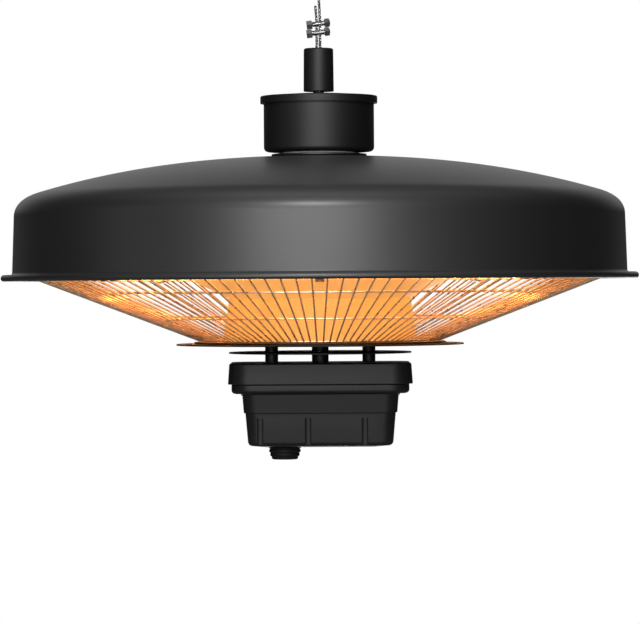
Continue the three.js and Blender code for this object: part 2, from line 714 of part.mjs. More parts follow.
function makeGuard() {
  const positions = [];
  const index = [];
  const knot = (radius, turn) => {
    const away = new THREE.Vector3(Math.cos(turn), Math.sin(turn), 0);
    const round = new THREE.Vector3(-away.y, away.x, 0);
    const up = new THREE.Vector3(0, 0, 1);
    const along = away.clone().multiplyScalar(Math.cos(guardSlope)).addScaledVector(up, Math.sin(guardSlope));
    const out = away.clone().multiplyScalar(Math.sin(guardSlope)).addScaledVector(up, -Math.cos(guardSlope));
    const middle = away.clone().multiplyScalar(radius).setZ(guardHeightAt(radius));
    const first = positions.length / 3;
    const put = (a, r, o) => {
      const point = middle.clone().addScaledVector(along, a * guardHalf);
      positions.push(...point.addScaledVector(round, r * guardHalf).addScaledVector(out, o * guardHalf));
    };
    put(-1, -1, 1);
    put(1, -1, 1);
    put(1, 1, 1);
    put(-1, 1, 1);
    put(0, 0, -1);
    index.push(first, first + 2, first + 1, first, first + 3, first + 2);
    return first;
  };
  // Three faces between two triangles, each given as its two flat-side corners and its inner point
  const bar = ([a, b, c], [d, e, f]) => {
    for (const [p, q, s, t] of [[a, b, e, d], [b, c, f, e], [c, a, d, f]]) index.push(p, q, s, p, s, t);
  };
  const hoops = [guardInnerRadius, guardOuterRadius];
  const knots = Array.from({ length: guardWires }, (_, wire) => {
    const turn = ((wire + 0.5) * 2 * Math.PI) / guardWires;
    return hoops.map((radius) => knot(radius, turn));
  });
  knots.forEach(([inner, outer], wire) => {
    const [nextInner, nextOuter] = knots[(wire + 1) % guardWires];
    bar([inner + 1, inner + 2, inner + 4], [outer, outer + 3, outer + 4]);
    bar([inner + 2, inner + 3, inner + 4], [nextInner + 1, nextInner, nextInner + 4]);
    bar([outer + 2, outer + 3, outer + 4], [nextOuter + 1, nextOuter, nextOuter + 4]);
    index.push(inner + 3, inner, inner + 4, outer + 1, outer + 2, outer + 4);
  });
  const lattice = new THREE.BufferGeometry();
  lattice.setAttribute('position', new THREE.Float32BufferAttribute(positions, 3));
  lattice.setIndex(index);
  const faceted = lattice.toNonIndexed();
  faceted.computeVertexNormals();
  place(heater, 'wire_guard', faceted, guardBlack);

  // The middle hoops lie inside the wires
  guardHoopShares.forEach((share, i) => {
    const radius = THREE.MathUtils.lerp(guardInnerRadius, guardOuterRadius, share);
    const half = guardHalf;
    const height = guardHeightAt(radius) + (2 * half + clearance) / Math.cos(guardSlope) + half;
    const hoop = turned([
      [radius - half, height - half * (1 + Math.tan(guardSlope))],
      [radius + half, height - half * (1 - Math.tan(guardSlope))],
      [radius, height + half],
    ], hoopFacets);
    place(heater, `guard_hoop_${i + 1}`, hoop, guardBlack);
  });
}

// Hooks on the dome's wall that carry the guard's outer hoop, each standing between two wires
function makeGuardClips() {
  const height = guardHeightAt(guardOuterRadius);
  const reach = 2 * guardHalf + clearance;
  const footTop = height + reach + guardClipFoot;
  const wall = wallInsideAt(footTop) * Math.cos(Math.PI / domeFacets) - clearance;
  const inner = guardOuterRadius - reach;
  const piece = (from, to, bottom, top) =>
    block(to - from, guardClipWidth, bottom, top).translate((from + to) / 2, 0, 0);
  guardClipTurns.forEach((turn, i) => {
    const above = height + reach;
    const below = height - reach;
    const foot = piece(wall - guardClipSheet, wall, above, footTop);
    const arm = piece(inner - guardClipSheet, wall, above, above + guardClipSheet);
    const drop = piece(inner - guardClipSheet, inner, below - guardClipSheet, above + guardClipSheet);
    const lip = piece(inner - guardClipSheet, guardOuterRadius, below - guardClipSheet, below);
    place(heater, `guard_clip_${i + 1}`, join(foot, arm, drop, lip).rotateZ(turn), zinc);
  });
}

// The guard's base plate, the two heat shields and the spacers that hang the control box under them
function makeShields() {
  const sideX = sideSpread / 2;
  const screwHole = sideScrewRadius + clearance;
  const disc = (radius, top, sideHole) =>
    slab(ngon(radius, largeFacets), top - discSheet, top, [
      hole(stemHoleRadius), hole(sideHole, sideX), hole(sideHole, -sideX),
    ]);
  place(heater, 'guard_base', disc(guardBaseRadius, guardBaseTop, screwHole), satinBlack);
  place(heater, 'large_heat_shield', disc(largeShieldRadius, largeShieldTop, screwHole), satinBlack);
  const smallShield = disc(smallShieldRadius, smallShieldTop, sideSpacerRadius + clearance);
  place(heater, 'small_heat_shield', smallShield, satinBlack);

  const spacerTop = largeShieldTop - discSheet - clearance;
  const spacerBottom = boxLidTopHeight + clearance;
  const upper = ring(stemSpacerRadius, stemHoleRadius, smallShieldTop + clearance, spacerTop, smallFacets);
  const lower = ring(stemSpacerRadius, stemHoleRadius, spacerBottom, smallShieldTop - discSheet - clearance,
    smallFacets);
  place(heater, 'stem_spacer_upper', upper, satinBlack);
  place(heater, 'stem_spacer_lower', lower, satinBlack);

  for (const [name, x] of [['left', -sideX], ['right', sideX]]) {
    const spacer = ring(sideSpacerRadius, screwHole, spacerBottom, spacerTop, smallFacets);
    place(heater, `side_spacer_${name}`, spacer.translate(x, 0, 0), satinBlack);
    const headTop = boxCeiling - clearance;
    const screw = turned([
      [0, headTop - sideScrewHeadHeight],
      [sideScrewHeadRadius / 2, headTop - sideScrewHeadHeight],
      [sideScrewHeadRadius, headTop],
      [sideScrewRadius, headTop],
      [sideScrewRadius, guardBaseTop + stemStandOut],
      [0, guardBaseTop + stemStandOut],
    ], screwFacets);
    place(heater, `side_screw_${name}`, screw.translate(x, 0, 0), zinc);
  }
}

// The control box: a lid with corner posts, a seal, and a tapered tub with a flange and a step
const cornerPlaces = [[-1, -1], [1, -1], [1, 1], [-1, 1]].map(([sideX, sideY]) => [
  sideX * (boxLidWidth / 2 - boxPostInset),
  sideY * (boxLidDepth / 2 - boxPostInset),
]);
// The box's outline moved in by an inset, at a height
const boxLevel = (inset, height, corner = boxCorner) => [
  boxLidWidth - 2 * inset, boxLidDepth - 2 * inset, Math.max(corner - inset / 2, tubEdge), height,
];

function makeBoxLid() {
  const outside = stacked([
    boxLevel(0, boxLidBottom),
    boxLevel(boxLidDraft, boxLidTopHeight - boxLidEdge),
    boxLevel(boxLidDraft + boxLidEdge, boxLidTopHeight),
  ]);
  const inside = stacked([
    boxLevel(boxWall, boxLidBottom - overrun),
    boxLevel(boxWall + boxLidDraft, boxCeiling),
  ]);
  const posts = cornerPlaces.map(([x, y]) =>
    rod(boxPostRadius, boxLidBottom + clearance, boxCeiling + clearance, screwFacets).translate(x, y, 0));
  const through = (radius, x, y, bottom, top) => rod(radius, bottom, top, screwFacets).translate(x, y, 0);
  const pastTop = boxLidTopHeight + overrun;
  const screwHole = sideScrewRadius + clearance;
  const drilled = [
    through(stemHoleRadius, 0, 0, boxCeiling - overrun, pastTop),
    through(screwHole, -sideSpread / 2, 0, boxCeiling - overrun, pastTop),
    through(screwHole, sideSpread / 2, 0, boxCeiling - overrun, pastTop),
    ...cornerPlaces.map(([x, y]) =>
      through(tubScrewRadius + clearance, x, y, boxLidBottom - overrun, boxCeiling - boxWall)),
  ];
  place(heater, 'box_lid', cut(join(cut(outside, inside), ...posts), ...drilled), blackPlastic);

  // The seal runs inside the corner posts: its round corners clear them along the diagonal
  const spare = boxPostRadius + clearance - (Math.SQRT2 - 1) * sealCorner;
  const sealInset = boxPostInset + spare / Math.SQRT2;
  const sealLine = (inset, corner) =>
    roundedCorners(boxLidWidth - 2 * inset, boxLidDepth - 2 * inset, corner);
  const sealInside = new THREE.Path(sealLine(sealInset + sealWidth, sealCorner - sealWidth));
  const sealBottom = flangeTop + clearance;
  const seal = slab(sealLine(sealInset, sealCorner), sealBottom, sealBottom + sealThickness, [sealInside]);
  place(heater, 'box_seal', seal, blackRubber);
}

function makeBoxTub() {
  const lean = tubTaper / tubHeight;
  const stepHeight = flangeBottom - tubStepDrop;
  const side = (height) => tubInset + lean * (flangeBottom - height) + (height < stepHeight ? tubStep : 0);
  const belowStep = stepHeight - clearance;
  const floorEdge = tubBottom + tubFloorRise;
  const outside = stacked([
    boxLevel(side(tubBottom) + tubFloorBorder, tubBottom),
    boxLevel(side(floorEdge) + tubEdge, floorEdge),
    boxLevel(side(floorEdge) + tubEdge / 4, floorEdge + tubEdge / 3),
    boxLevel(side(floorEdge + tubEdge), floorEdge + tubEdge),
    boxLevel(side(belowStep), belowStep),
    boxLevel(side(stepHeight), stepHeight),
    boxLevel(tubInset, flangeBottom),
    boxLevel(flangeInset + flangeEdge, flangeBottom),
    boxLevel(flangeInset, flangeBottom + flangeEdge),
    boxLevel(flangeInset, flangeTop),
  ]);
  const inside = stacked([
    boxLevel(side(tubFloor) + tubFloorBorder, tubFloor),
    boxLevel(side(tubFloor) + boxWall + tubEdge / 4, tubFloor + tubFloorRise),
    boxLevel(side(belowStep) + boxWall, belowStep),
    boxLevel(side(belowStep) + boxWall, flangeTop + overrun),
  ]);
  const posts = boardPostPlaces().map(([x, y]) =>
    rod(boardPostRadius, tubFloor - clearance, boardBottom - clearance, screwFacets).translate(x, y, 0));
  const drill = (radius, bottom, top, x, y, facets) =>
    rod(radius, bottom - overrun, top + overrun, facets).translate(x, y, 0);
  const screwSeat = flangeBottom + tubScrewHeadHeight + clearance; // the heads are sunk in the flange
  const floorHoles = [[buttonRadius, buttonX], [receiverRadius, receiverX]].map(([radius, x]) =>
    drill(radius + clearance, tubBottom, tubFloor, x, 0, midFacets));
  const screwHoles = cornerPlaces.flatMap(([x, y]) => [
    drill(tubScrewRadius + clearance, flangeBottom, flangeTop, x, y, screwFacets),
    rod(tubScrewHeadRadius + clearance, flangeBottom - overrun, screwSeat, midFacets).translate(x, y, 0),
  ]);
  const grooveBottom = tubBottom - overrun;
  const grooveTop = belowStep - tubEdge;
  const grooves = grooveShares.flatMap((share) =>
    [-1, 1].map((face) => {
      const middle = (grooveBottom + grooveTop) / 2;
      const surface = boxLidDepth / 2 - side(middle);
      const half = (grooveTop - grooveBottom) / 2;
      return block(grooveWidth, 2 * grooveDepth, -half, half)
        .rotateX(-face * Math.atan(lean))
        .translate(share * (boxLidWidth / 2 - side(middle)), face * surface, middle);
    }),
  );
  const shell = join(cut(outside, inside), ...posts);
  place(heater, 'box_tub', cut(shell, ...floorHoles, ...screwHoles, ...grooves), blackPlastic);

  cornerPlaces.forEach(([x, y], i) => {
    const seat = screwSeat - clearance;
    const screw = turned([
      [0, seat - tubScrewHeadHeight],
      [tubScrewHeadRadius / 2, seat - tubScrewHeadHeight],
      [tubScrewHeadRadius, seat],
      [tubScrewRadius, seat],
      [tubScrewRadius, seat + tubScrewLength],
      [0, seat + tubScrewLength],
    ], screwFacets);
    place(heater, `tub_screw_${i + 1}`, screw.translate(x, y, 0), zinc);
  });
}

// The circuit board fills the tub at its height and rests on four posts
const boardInset = tubInset + tubTaper + tubStep + boxWall + boardMargin;
const boardPostPlaces = () =>
  [[-1, -1], [1, -1], [1, 1], [-1, 1]].map(([sideX, sideY]) => [
    sideX * (boxLidWidth / 2 - boardInset - boardPostInset),
    sideY * (boxLidDepth / 2 - boardInset - boardPostInset),
  ]);

function makeElectronics() {
  const outline = roundedCorners(...boxLevel(boardInset, 0).slice(0, 3));
  const boardTop = boardBottom + boardThickness;
  place(heater, 'circuit_board', slab(outline, boardBottom, boardTop), boardGreen);
  const relayBottom = boardTop + clearance;
  const relayOutline = roundedCorners(relayWidth, relayDepth, relayCorner, 1);
  const relay = slab(relayOutline, relayBottom, relayBottom + relayHeight);
  place(heater, 'power_relay', relay.translate(relayX, relayY, 0), relayBlue);

  const receiverShoulder = tubFloor + clearance;
  const eye = turned([
    [0, tubBottom],
    [receiverRadius, tubBottom],
    [receiverRadius, receiverShoulder],
    [receiverRadius + receiverFlange, receiverShoulder],
    [receiverRadius + receiverFlange, receiverShoulder + boxWall],
    [receiverRadius, receiverShoulder + boxWall],
    [receiverRadius / 2, receiverShoulder + receiverLength],
    [0, receiverShoulder + receiverLength],
  ], smallFacets);
  place(heater, 'infrared_receiver', eye.translate(receiverX, 0, 0), receiverTint);
}

// The push button stands out below the tub, and its post slides in the bore of the switch above it
function makeButton() {
  const flangeBase = tubFloor + clearance;
  const flangeTopHeight = flangeBase + buttonFlangeHeight;
  const switchBottom = tubFloor + switchGap;
  const pitch = buttonDrop / (buttonRidges + 1 / 2);
  const ridges = Array.from({ length: buttonRidges }, (_, i) => i / buttonRidges).flatMap((share) => {
    const radius = THREE.MathUtils.lerp(buttonRadius, buttonTipRadius, share ** 2);
    const height = tubBottom - share * buttonRidges * pitch;
    return [
      [radius, height],
      [radius, height - pitch / 2],
      [radius - buttonGroove, height - (3 * pitch) / 4],
    ];
  });
  const button = turned([
    [0, switchBottom + buttonPostEntry],
    [buttonPostRadius, switchBottom + buttonPostEntry],
    [buttonPostRadius, flangeTopHeight],
    [buttonRadius + buttonFlange, flangeTopHeight],
    [buttonRadius + buttonFlange, flangeBase],
    [buttonRadius, flangeBase],
    ...ridges,
    [buttonTipRadius, tubBottom - buttonDrop],
    [0, tubBottom - buttonDrop],
  ], midFacets);
  place(heater, 'power_button', button.translate(buttonX, 0, 0), blackRubber);

  const outline = roundedCorners(switchWidth, switchWidth, switchCorner, 1);
  const body = slab(outline, switchBottom, boardBottom - clearance);
  const boreTop = switchBottom + buttonPostEntry + buttonTravel + overrun;
  const bore = rod(buttonPostRadius + clearance, switchBottom - overrun, boreTop);
  place(heater, 'power_switch', cut(body, bore).translate(buttonX, 0, 0), blackPlastic);
}

makeCeilingFitting();
makeRope();
makeFerrule();
[1, 2].forEach((number) => makeClamp(number, lowestClampDrop - (number - 1) * clampPitch));
makeBoss();
makeStem();
makeCanister();
makeDome();
makeReflector();
makeHeatingRing();
makeGuard();
makeGuardClips();
makeShields();
makeBoxLid();
makeBoxTub();
makeElectronics();
makeButton();

export default model;
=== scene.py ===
# %% [markdown]
# # A hanging patio heater
# A wide black steel dome hangs from a wire rope. Under it are a brushed reflector, a glowing quartz ring
# and a cone-shaped wire guard, and below the guard a small control box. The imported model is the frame:
# every surface here is a finer skin over one of its parts, and rides on the same body.

import bmesh
import bpy
import numpy as np
from mathutils import Euler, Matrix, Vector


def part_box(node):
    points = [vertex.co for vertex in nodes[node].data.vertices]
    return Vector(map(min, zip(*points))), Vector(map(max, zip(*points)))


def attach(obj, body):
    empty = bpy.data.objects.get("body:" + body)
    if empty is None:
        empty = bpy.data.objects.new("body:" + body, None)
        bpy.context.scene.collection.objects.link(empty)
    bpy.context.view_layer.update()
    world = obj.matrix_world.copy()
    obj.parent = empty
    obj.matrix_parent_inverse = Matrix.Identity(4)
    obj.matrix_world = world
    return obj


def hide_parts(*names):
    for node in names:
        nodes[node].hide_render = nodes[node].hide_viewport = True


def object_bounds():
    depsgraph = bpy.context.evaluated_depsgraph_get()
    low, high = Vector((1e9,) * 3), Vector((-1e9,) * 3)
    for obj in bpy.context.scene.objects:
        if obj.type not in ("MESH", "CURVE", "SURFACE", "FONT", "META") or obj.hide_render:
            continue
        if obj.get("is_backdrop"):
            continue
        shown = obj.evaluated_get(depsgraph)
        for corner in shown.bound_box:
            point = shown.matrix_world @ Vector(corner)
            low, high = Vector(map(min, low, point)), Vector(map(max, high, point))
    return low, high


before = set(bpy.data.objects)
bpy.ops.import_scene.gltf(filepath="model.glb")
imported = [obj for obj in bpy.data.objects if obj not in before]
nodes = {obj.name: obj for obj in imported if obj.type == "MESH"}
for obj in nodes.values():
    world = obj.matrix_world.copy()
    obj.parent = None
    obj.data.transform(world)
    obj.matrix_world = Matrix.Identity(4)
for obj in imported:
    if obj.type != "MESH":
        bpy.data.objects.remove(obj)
cad_low, cad_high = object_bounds()
mm = 0.001
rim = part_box("dome_shell")[0].z / mm
scene = bpy.context.scene
print(f"{len(nodes)} parts, the rim hangs {-rim:.1f} mm below the ceiling")

# %% [markdown]
# ## Camera
# The picture is taken from far away with a long lens, a few millimetres below the dome's rim, so the rim
# is almost a straight line. A long lens keeps the near and the far side of the guard almost the same size.
# The heater hangs a little out of true in the picture, which a small roll of the camera gives.

# %% The camera
lens = 199.7  # mm
camera_distance = 2373  # mm, from the axis
camera_drop = 6  # mm, below the rim
camera_pitch = 0.375  # degrees, downwards
camera_roll = -0.34  # degrees

camera = bpy.data.objects.new("camera", bpy.data.cameras.new("camera"))
scene.collection.objects.link(camera)
camera.data.lens = lens
camera.data.sensor_width = 36
camera.location = (0, -camera_distance * mm, (rim - camera_drop) * mm)
tilt = Euler((np.radians(90 - camera_pitch), 0, 0)).to_matrix()
camera.rotation_euler = (tilt @ Euler((0, 0, np.radians(camera_roll))).to_matrix()).to_euler()
scene.camera = camera
print(f"lens {lens} mm at {camera_distance} mm")

# %% [markdown]
# ## Surfaces from arrays
# Nearly every part is a grid of points: rings round an axis, or sections along a path. One helper turns a
# grid into faces, and closes it where asked. Sizes are in millimetres. Heights are measured from the rim's
# plane, or from the ceiling for the rope and its fitting, and the last helper sets them in metres.


# %% From a grid of points to a piece
def grid_part(grid, close_rows=False, ends=False):
    """Points and four-cornered faces of a grid of shape (rows, columns, 3), numbered row by row. Each row is
    a closed ring. With ends, the first and the last ring are filled."""
    rows, columns = grid.shape[:2]
    i = np.arange(rows if close_rows else rows - 1)[:, None]
    j = np.arange(columns)[None, :]
    next_i, next_j = (i + 1) % rows, (j + 1) % columns
    cells = [i * columns + j, i * columns + next_j, next_i * columns + next_j, next_i * columns + j]
    faces = np.stack(np.broadcast_arrays(*cells), -1).reshape(-1, 4).tolist()
    if ends:
        faces += [list(range(columns))[::-1], list(range((rows - 1) * columns, rows * columns))]
    return grid.reshape(-1, 3), faces


def together(*parts):
    """Several (points, faces) as one."""
    starts = np.cumsum([0] + [len(points) for points, _ in parts])
    faces = [[start + corner for corner in face] for start, (_, own) in zip(starts, parts) for face in own]
    return np.concatenate([points for points, _ in parts]), faces


def closed_skin(mesh):
    """Merges doubled points and turns all the faces outwards."""
    work = bmesh.new()
    work.from_mesh(mesh)
    bmesh.ops.remove_doubles(work, verts=work.verts, dist=1e-6)
    bmesh.ops.recalc_face_normals(work, faces=work.faces)
    work.to_mesh(mesh)
    work.free()


def shade(mesh, sharp):
    """Shades a mesh smooth, except across edges that bend by more than an angle in degrees."""
    mesh.shade_smooth()
    mesh.set_sharp_from_angle(angle=np.radians(sharp))


default_sharp = 35  # degrees


def settle(made, body, material, replaced, sharp):
    """Closes a piece's skin, shades it, gives it its finish and its body, and hides the imported parts it
    stands for.
    """
    closed_skin(made.data)
    shade(made.data, sharp)
    made.data.materials.clear()
    made.data.materials.append(material)
    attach(made, body)
    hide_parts(*replaced)
    return made


def piece(name, part, body, material, replaced=(), base=rim, sharp=default_sharp):
    """A finished piece from points in millimetres, with heights above base."""
    points, faces = part
    mesh = bpy.data.meshes.new(name)
    mesh.from_pydata((points + [0, 0, base]) * mm, [], faces)
    made = bpy.data.objects.new(name, mesh)
    scene.collection.objects.link(made)
    return settle(made, body, material, replaced, sharp)


def span(node, base=rim):
    """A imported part's lowest and highest corner in millimetres, with heights above base."""
    low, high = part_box(node)
    return np.array(low) / mm - [0, 0, base], np.array(high) / mm - [0, 0, base]


# %% [markdown]
# Turned parts are a profile carried round the axis. A perfectly sharp edge never catches light, so each
# corner of a profile may have a small radius, given as a third number.


# %% Profiles and turned parts
def profile(*corners, closed=False, steps=4):
    """A line through (radius, height) corners. One with a third number is rounded to that radius: its arc
    touches both sides at radius / tan(half the corner's angle) from the corner."""
    corners = [tuple(corner) + (0,) * (3 - len(corner)) for corner in corners]
    line = []
    for i, (x, z, size) in enumerate(corners):
        here = np.array([x, z], float)
        if size == 0 or (not closed and i in (0, len(corners) - 1)):
            line.append(here[None])
            continue
        back = np.array(corners[i - 1][:2]) - here
        ahead = np.array(corners[(i + 1) % len(corners)][:2]) - here
        a, b = back / np.linalg.norm(back), ahead / np.linalg.norm(ahead)
        half = np.arccos(np.clip(a @ b, -1, 1)) / 2
        reach = min(size / np.tan(half), 0.49 * np.linalg.norm(back), 0.49 * np.linalg.norm(ahead))
        middle = here + (a + b) / np.linalg.norm(a + b) * reach / np.cos(half)
        start, end = here + a * reach - middle, here + b * reach - middle
        turn = np.arctan2(start[0] * end[1] - start[1] * end[0], start @ end)
        angle = np.linspace(0, turn, steps + 1)[:, None]
        quarter = np.array([-start[1], start[0]])
        line.append(middle + start * np.cos(angle) + quarter * np.sin(angle))
    return np.concatenate(line)


def around(segments):
    """Angles that go once round."""
    return np.arange(segments) * 2 * np.pi / segments


def polar(radius, angle, height):
    """Points from their distance to the Z axis, their angle round it and their height."""
    return np.stack(np.broadcast_arrays(radius * np.cos(angle), radius * np.sin(angle), height), -1)


def turned(line, segments=96, closed=False, scale=1.0):
    """Carries a profile round the Z axis. For ribs, scale is an array with a factor for each point of the
    line and each angle."""
    radius = line[:, :1] * np.broadcast_to(scale, (len(line), segments))
    return grid_part(polar(radius, around(segments), line[:, 1:]), close_rows=closed)


def sleeve(bore, radius, bottom, top, bottom_edge, top_edge, segments):
    """A tube or washer, with its two outer edges rounded."""
    line = profile((bore, bottom), (radius, bottom, bottom_edge), (radius, top, top_edge), (bore, top),
                   closed=True)
    return turned(line, segments, closed=True)


def moved(part, x=0.0, y=0.0, z=0.0):
    """A part pushed along the three axes."""
    return part[0] + [x, y, z], part[1]


def spun(part, angle):
    """Turns a part about the Z axis."""
    x, y, z = part[0].T
    cos, sin = np.cos(angle), np.sin(angle)
    return np.stack([x * cos - y * sin, x * sin + y * cos, z], -1), part[1]


def leant(part, angle):
    """Turns a part about the Y axis, so that +Z goes towards +X."""
    x, y, z = part[0].T
    cos, sin = np.cos(angle), np.sin(angle)
    return np.stack([x * cos + z * sin, y, z * cos - x * sin], -1), part[1]


on_axis = 1e-3  # mm, the radius of a ring that closes a solid on its axis


def hexagon(across_flats, bottom, top, bore=on_axis, chamfer=0.5):
    """A hexagonal nut or head. Each ring's radius is the hexagon's, across_flats / 2 / cos(angle from the
    middle of the flat), but at the ends a 30 degree cone cuts the corners off, from 0.97 of the flats."""
    segments = 72
    angle = around(segments)
    flat = across_flats / 2 / np.cos((angle + np.pi / 6) % (np.pi / 3) - np.pi / 6)
    step = np.linspace(0, 1, 5)[:, None]
    depth = chamfer * step
    cone = across_flats / 2 * 0.97 + depth / np.tan(np.radians(30))
    below = np.stack(np.broadcast_arrays(np.minimum(flat, cone), bottom + depth), -1)
    above = np.stack(np.broadcast_arrays(np.minimum(flat, cone), top - depth), -1)[::-1]
    inner = np.stack(np.broadcast_arrays(np.full(segments, bore), np.array([[top], [bottom]])), -1)
    line = np.concatenate([below, above, inner])
    return grid_part(polar(line[..., 0], angle, line[..., 1]), close_rows=True)


# %% [markdown]
# Wires, rods and tubes are a section carried along a path. The section stands square to the path, and a
# side vector for each point of the path says which way it is turned.


# %% Swept parts
def unit(vectors):
    """The same directions with a length of 1."""
    return vectors / np.linalg.norm(vectors, axis=-1, keepdims=True)


def smooth_path(points, count):
    """Evenly spaced points on the curve through the given ones, a cubic between each two of them whose
    slope at a point is half the way from its neighbour before to its neighbour after."""
    points = np.array(points, float)
    padded = np.concatenate([2 * points[:1] - points[1:2], points, 2 * points[-1:] - points[-2:-1]])
    a, b, c, d = padded[:-3, None], padded[1:-2, None], padded[2:-1, None], padded[3:, None]
    t = np.linspace(0, 1, 24, endpoint=False)[None, :, None]
    fine = 0.5 * (2 * b + (c - a) * t + (2 * a - 5 * b + 4 * c - d) * t**2 + (3 * b - a - 3 * c + d) * t**3)
    fine = np.concatenate([fine.reshape(-1, 3), points[-1:]])
    run = np.concatenate([[0], np.cumsum(np.linalg.norm(np.diff(fine, axis=0), axis=1))])
    even = np.linspace(0, run[-1], count)
    return np.stack([np.interp(even, run, fine[:, k]) for k in range(3)], -1)


def directions(path, closed=False):
    """The way ahead at each point: halfway between the step to it and the step from it."""
    if closed:
        steps = unit(np.roll(path, -1, 0) - path)
        return unit(steps + np.roll(steps, 1, 0))
    steps = unit(np.diff(path, axis=0))
    return unit(np.concatenate([steps[:1], steps]) + np.concatenate([steps, steps[-1:]]))


def sections(path, radius, sides, side=(0, 0, 1), closed=False, turn=0.0):
    """Rings along a path: path + radius * (across * cos(angle) + over * sin(angle)). The radius may differ
    from point to point and from side to side, and turn twists the ring along the path."""
    side = np.broadcast_to(np.array(side, float), path.shape)
    ahead = directions(path, closed)
    across = unit(side - ahead * np.sum(side * ahead, -1, keepdims=True))
    over = np.cross(ahead, across)
    angle = around(sides)[None, :, None] + np.broadcast_to(turn, len(path))[:, None, None]
    radius = np.broadcast_to(radius, (len(path), sides))[..., None]
    return path[:, None] + radius * (across[:, None] * np.cos(angle) + over[:, None] * np.sin(angle))


def swept(path, radius, sides=12, side=(0, 0, 1), closed=False, turn=0.0):
    """A solid rod along a path."""
    return grid_part(sections(path, radius, sides, side, closed, turn), close_rows=closed, ends=not closed)


def hoop(radius, height, wire):
    """A closed ring of round wire."""
    return swept(polar(radius, around(180), height), wire, 10, closed=True)


# %% [markdown]
# Boxes with round corners are a stack of outlines. A profile of (inset, height) corners says how far each
# outline is drawn in, so the same rounding serves their edges. Flat discs with holes are easiest as a
# filled curve, whose extrusion and bevel make the sheet and its edge.


# %% Stacked outlines and drilled discs
def rounded_rectangle(width, depth, corner):
    """Outline points, anticlockwise from the +X side: four quarter circles round the corners' centres."""
    steps = 8
    quarter = np.repeat(np.arange(4), steps + 1)
    angle = (quarter + np.tile(np.linspace(0, 1, steps + 1), 4)) * np.pi / 2
    side_x, side_y = np.array([1, -1, -1, 1])[quarter], np.array([1, 1, -1, -1])[quarter]
    x = side_x * (width / 2 - corner) + corner * np.cos(angle)
    y = side_y * (depth / 2 - corner) + corner * np.sin(angle)
    return np.stack([x, y], -1)


def boxed(width, depth, corner, line, corner_share=1.0, least_corner=0.3):
    """A stack of outlines, one for each (inset, height) of the line. The corners shrink with the inset."""
    rings = []
    for inset, height in line:
        round_corner = max(corner - corner_share * inset, least_corner)
        ring = rounded_rectangle(width - 2 * inset, depth - 2 * inset, round_corner)
        rings.append(np.column_stack([ring, np.full(len(ring), height)]))
    return grid_part(np.array(rings), ends=True)


def block(width, depth, bottom, top, corner=0.6, edge=0.4):
    """A plain block with round corners and edges."""
    line = profile((edge, bottom), (0, bottom + edge), (0, top - edge), (edge, top))
    return boxed(width, depth, corner, line)


def drilled_disc(radius, bottom, top, holes, edge, segments=128):
    """A disc with round (x, y, radius) holes and rounded edges."""
    curve = bpy.data.curves.new("disc", "CURVE")
    curve.dimensions, curve.fill_mode = "2D", "BOTH"
    curve.extrude, curve.bevel_depth = (top - bottom) / 2 - edge, edge
    curve.bevel_resolution, curve.offset = 1, -edge
    for x, y, size in [(0, 0, radius), *holes]:
        count = segments if size == radius else 32
        outline = polar(size, around(count), 0) + [x, y, 0]
        spline = curve.splines.new("POLY")
        spline.points.add(count - 1)
        spline.points.foreach_set("co", np.column_stack([outline, np.ones(count)]).ravel())
        spline.use_cyclic_u = True
    shown = bpy.data.objects.new("disc", curve)
    mesh = bpy.data.meshes.new_from_object(shown)
    flat = np.empty(3 * len(mesh.vertices))
    mesh.vertices.foreach_get("co", flat)
    faces = [list(face.vertices) for face in mesh.polygons]
    bpy.data.objects.remove(shown)
    bpy.data.curves.remove(curve)
    bpy.data.meshes.remove(mesh)
    return flat.reshape(-1, 3) + [0, 0, (bottom + top) / 2], faces


# %% [markdown]
# ## Finishes
# Shader maths reads best as algebra. The small class below wraps a node's output, so that adding or
# multiplying two of them adds the Math node for it. Every other node comes from one method that takes its
# type, its settings and its inputs.


# %% Shader maths as expressions
class Output:
    """A node's output. Arithmetic on it adds Math nodes, so 1 - mask is written as it is in algebra."""

    def __init__(self, tree, socket):
        self.tree, self.socket = tree, socket

    def maths(self, operation, *values):
        """A Math node on values and outputs."""
        return self.tree.node("Math", {"operation": operation}, *values)

    def __add__(self, other):
        return self.maths("ADD", self, other)

    def __sub__(self, other):
        return self.maths("SUBTRACT", self, other)

    def __rsub__(self, other):
        return self.maths("SUBTRACT", other, self)

    def __mul__(self, other):
        return self.maths("MULTIPLY", self, other)

    def __truediv__(self, other):
        return self.maths("DIVIDE", self, other)

    __radd__ = __add__
    __rmul__ = __mul__


class Network:
    """A node tree in the making, of a material or of the world."""

    def __init__(self, owner):
        owner.use_nodes = True
        self.tree = owner.node_tree

    def node(self, kind, settings=None, *values, output=0, **named):
        """A node of a type, with its settings and then the values or links of its inputs, in order or by
        name. The stops setting of a ramp is a list of (place, grey or colour)."""
        made = self.tree.nodes.new("ShaderNode" + kind)
        for key, value in (settings or {}).items():
            if key == "stops":
                self.set_stops(made.color_ramp.elements, value)
            else:
                setattr(made, key, value)
        for key, value in [*enumerate(values), *named.items()]:
            socket = made.inputs[key]
            if isinstance(value, Output):
                self.tree.links.new(value.socket, socket)
            else:
                socket.default_value = value
        return Output(self, made.outputs[output])

    def set_stops(self, elements, stops):
        """Gives a ramp its stops. It comes with two, and the others are added."""
        for i, (place, colour) in enumerate(stops):
            stop = elements[i] if i < 2 else elements.new(place)
            stop.position = place
            stop.color = (*np.broadcast_to(colour, 3), 1)

    def parts(self, vector):
        """The X, Y and Z of a vector."""
        split = self.node("SeparateXYZ", None, vector)
        return [Output(self, socket) for socket in split.socket.node.outputs]


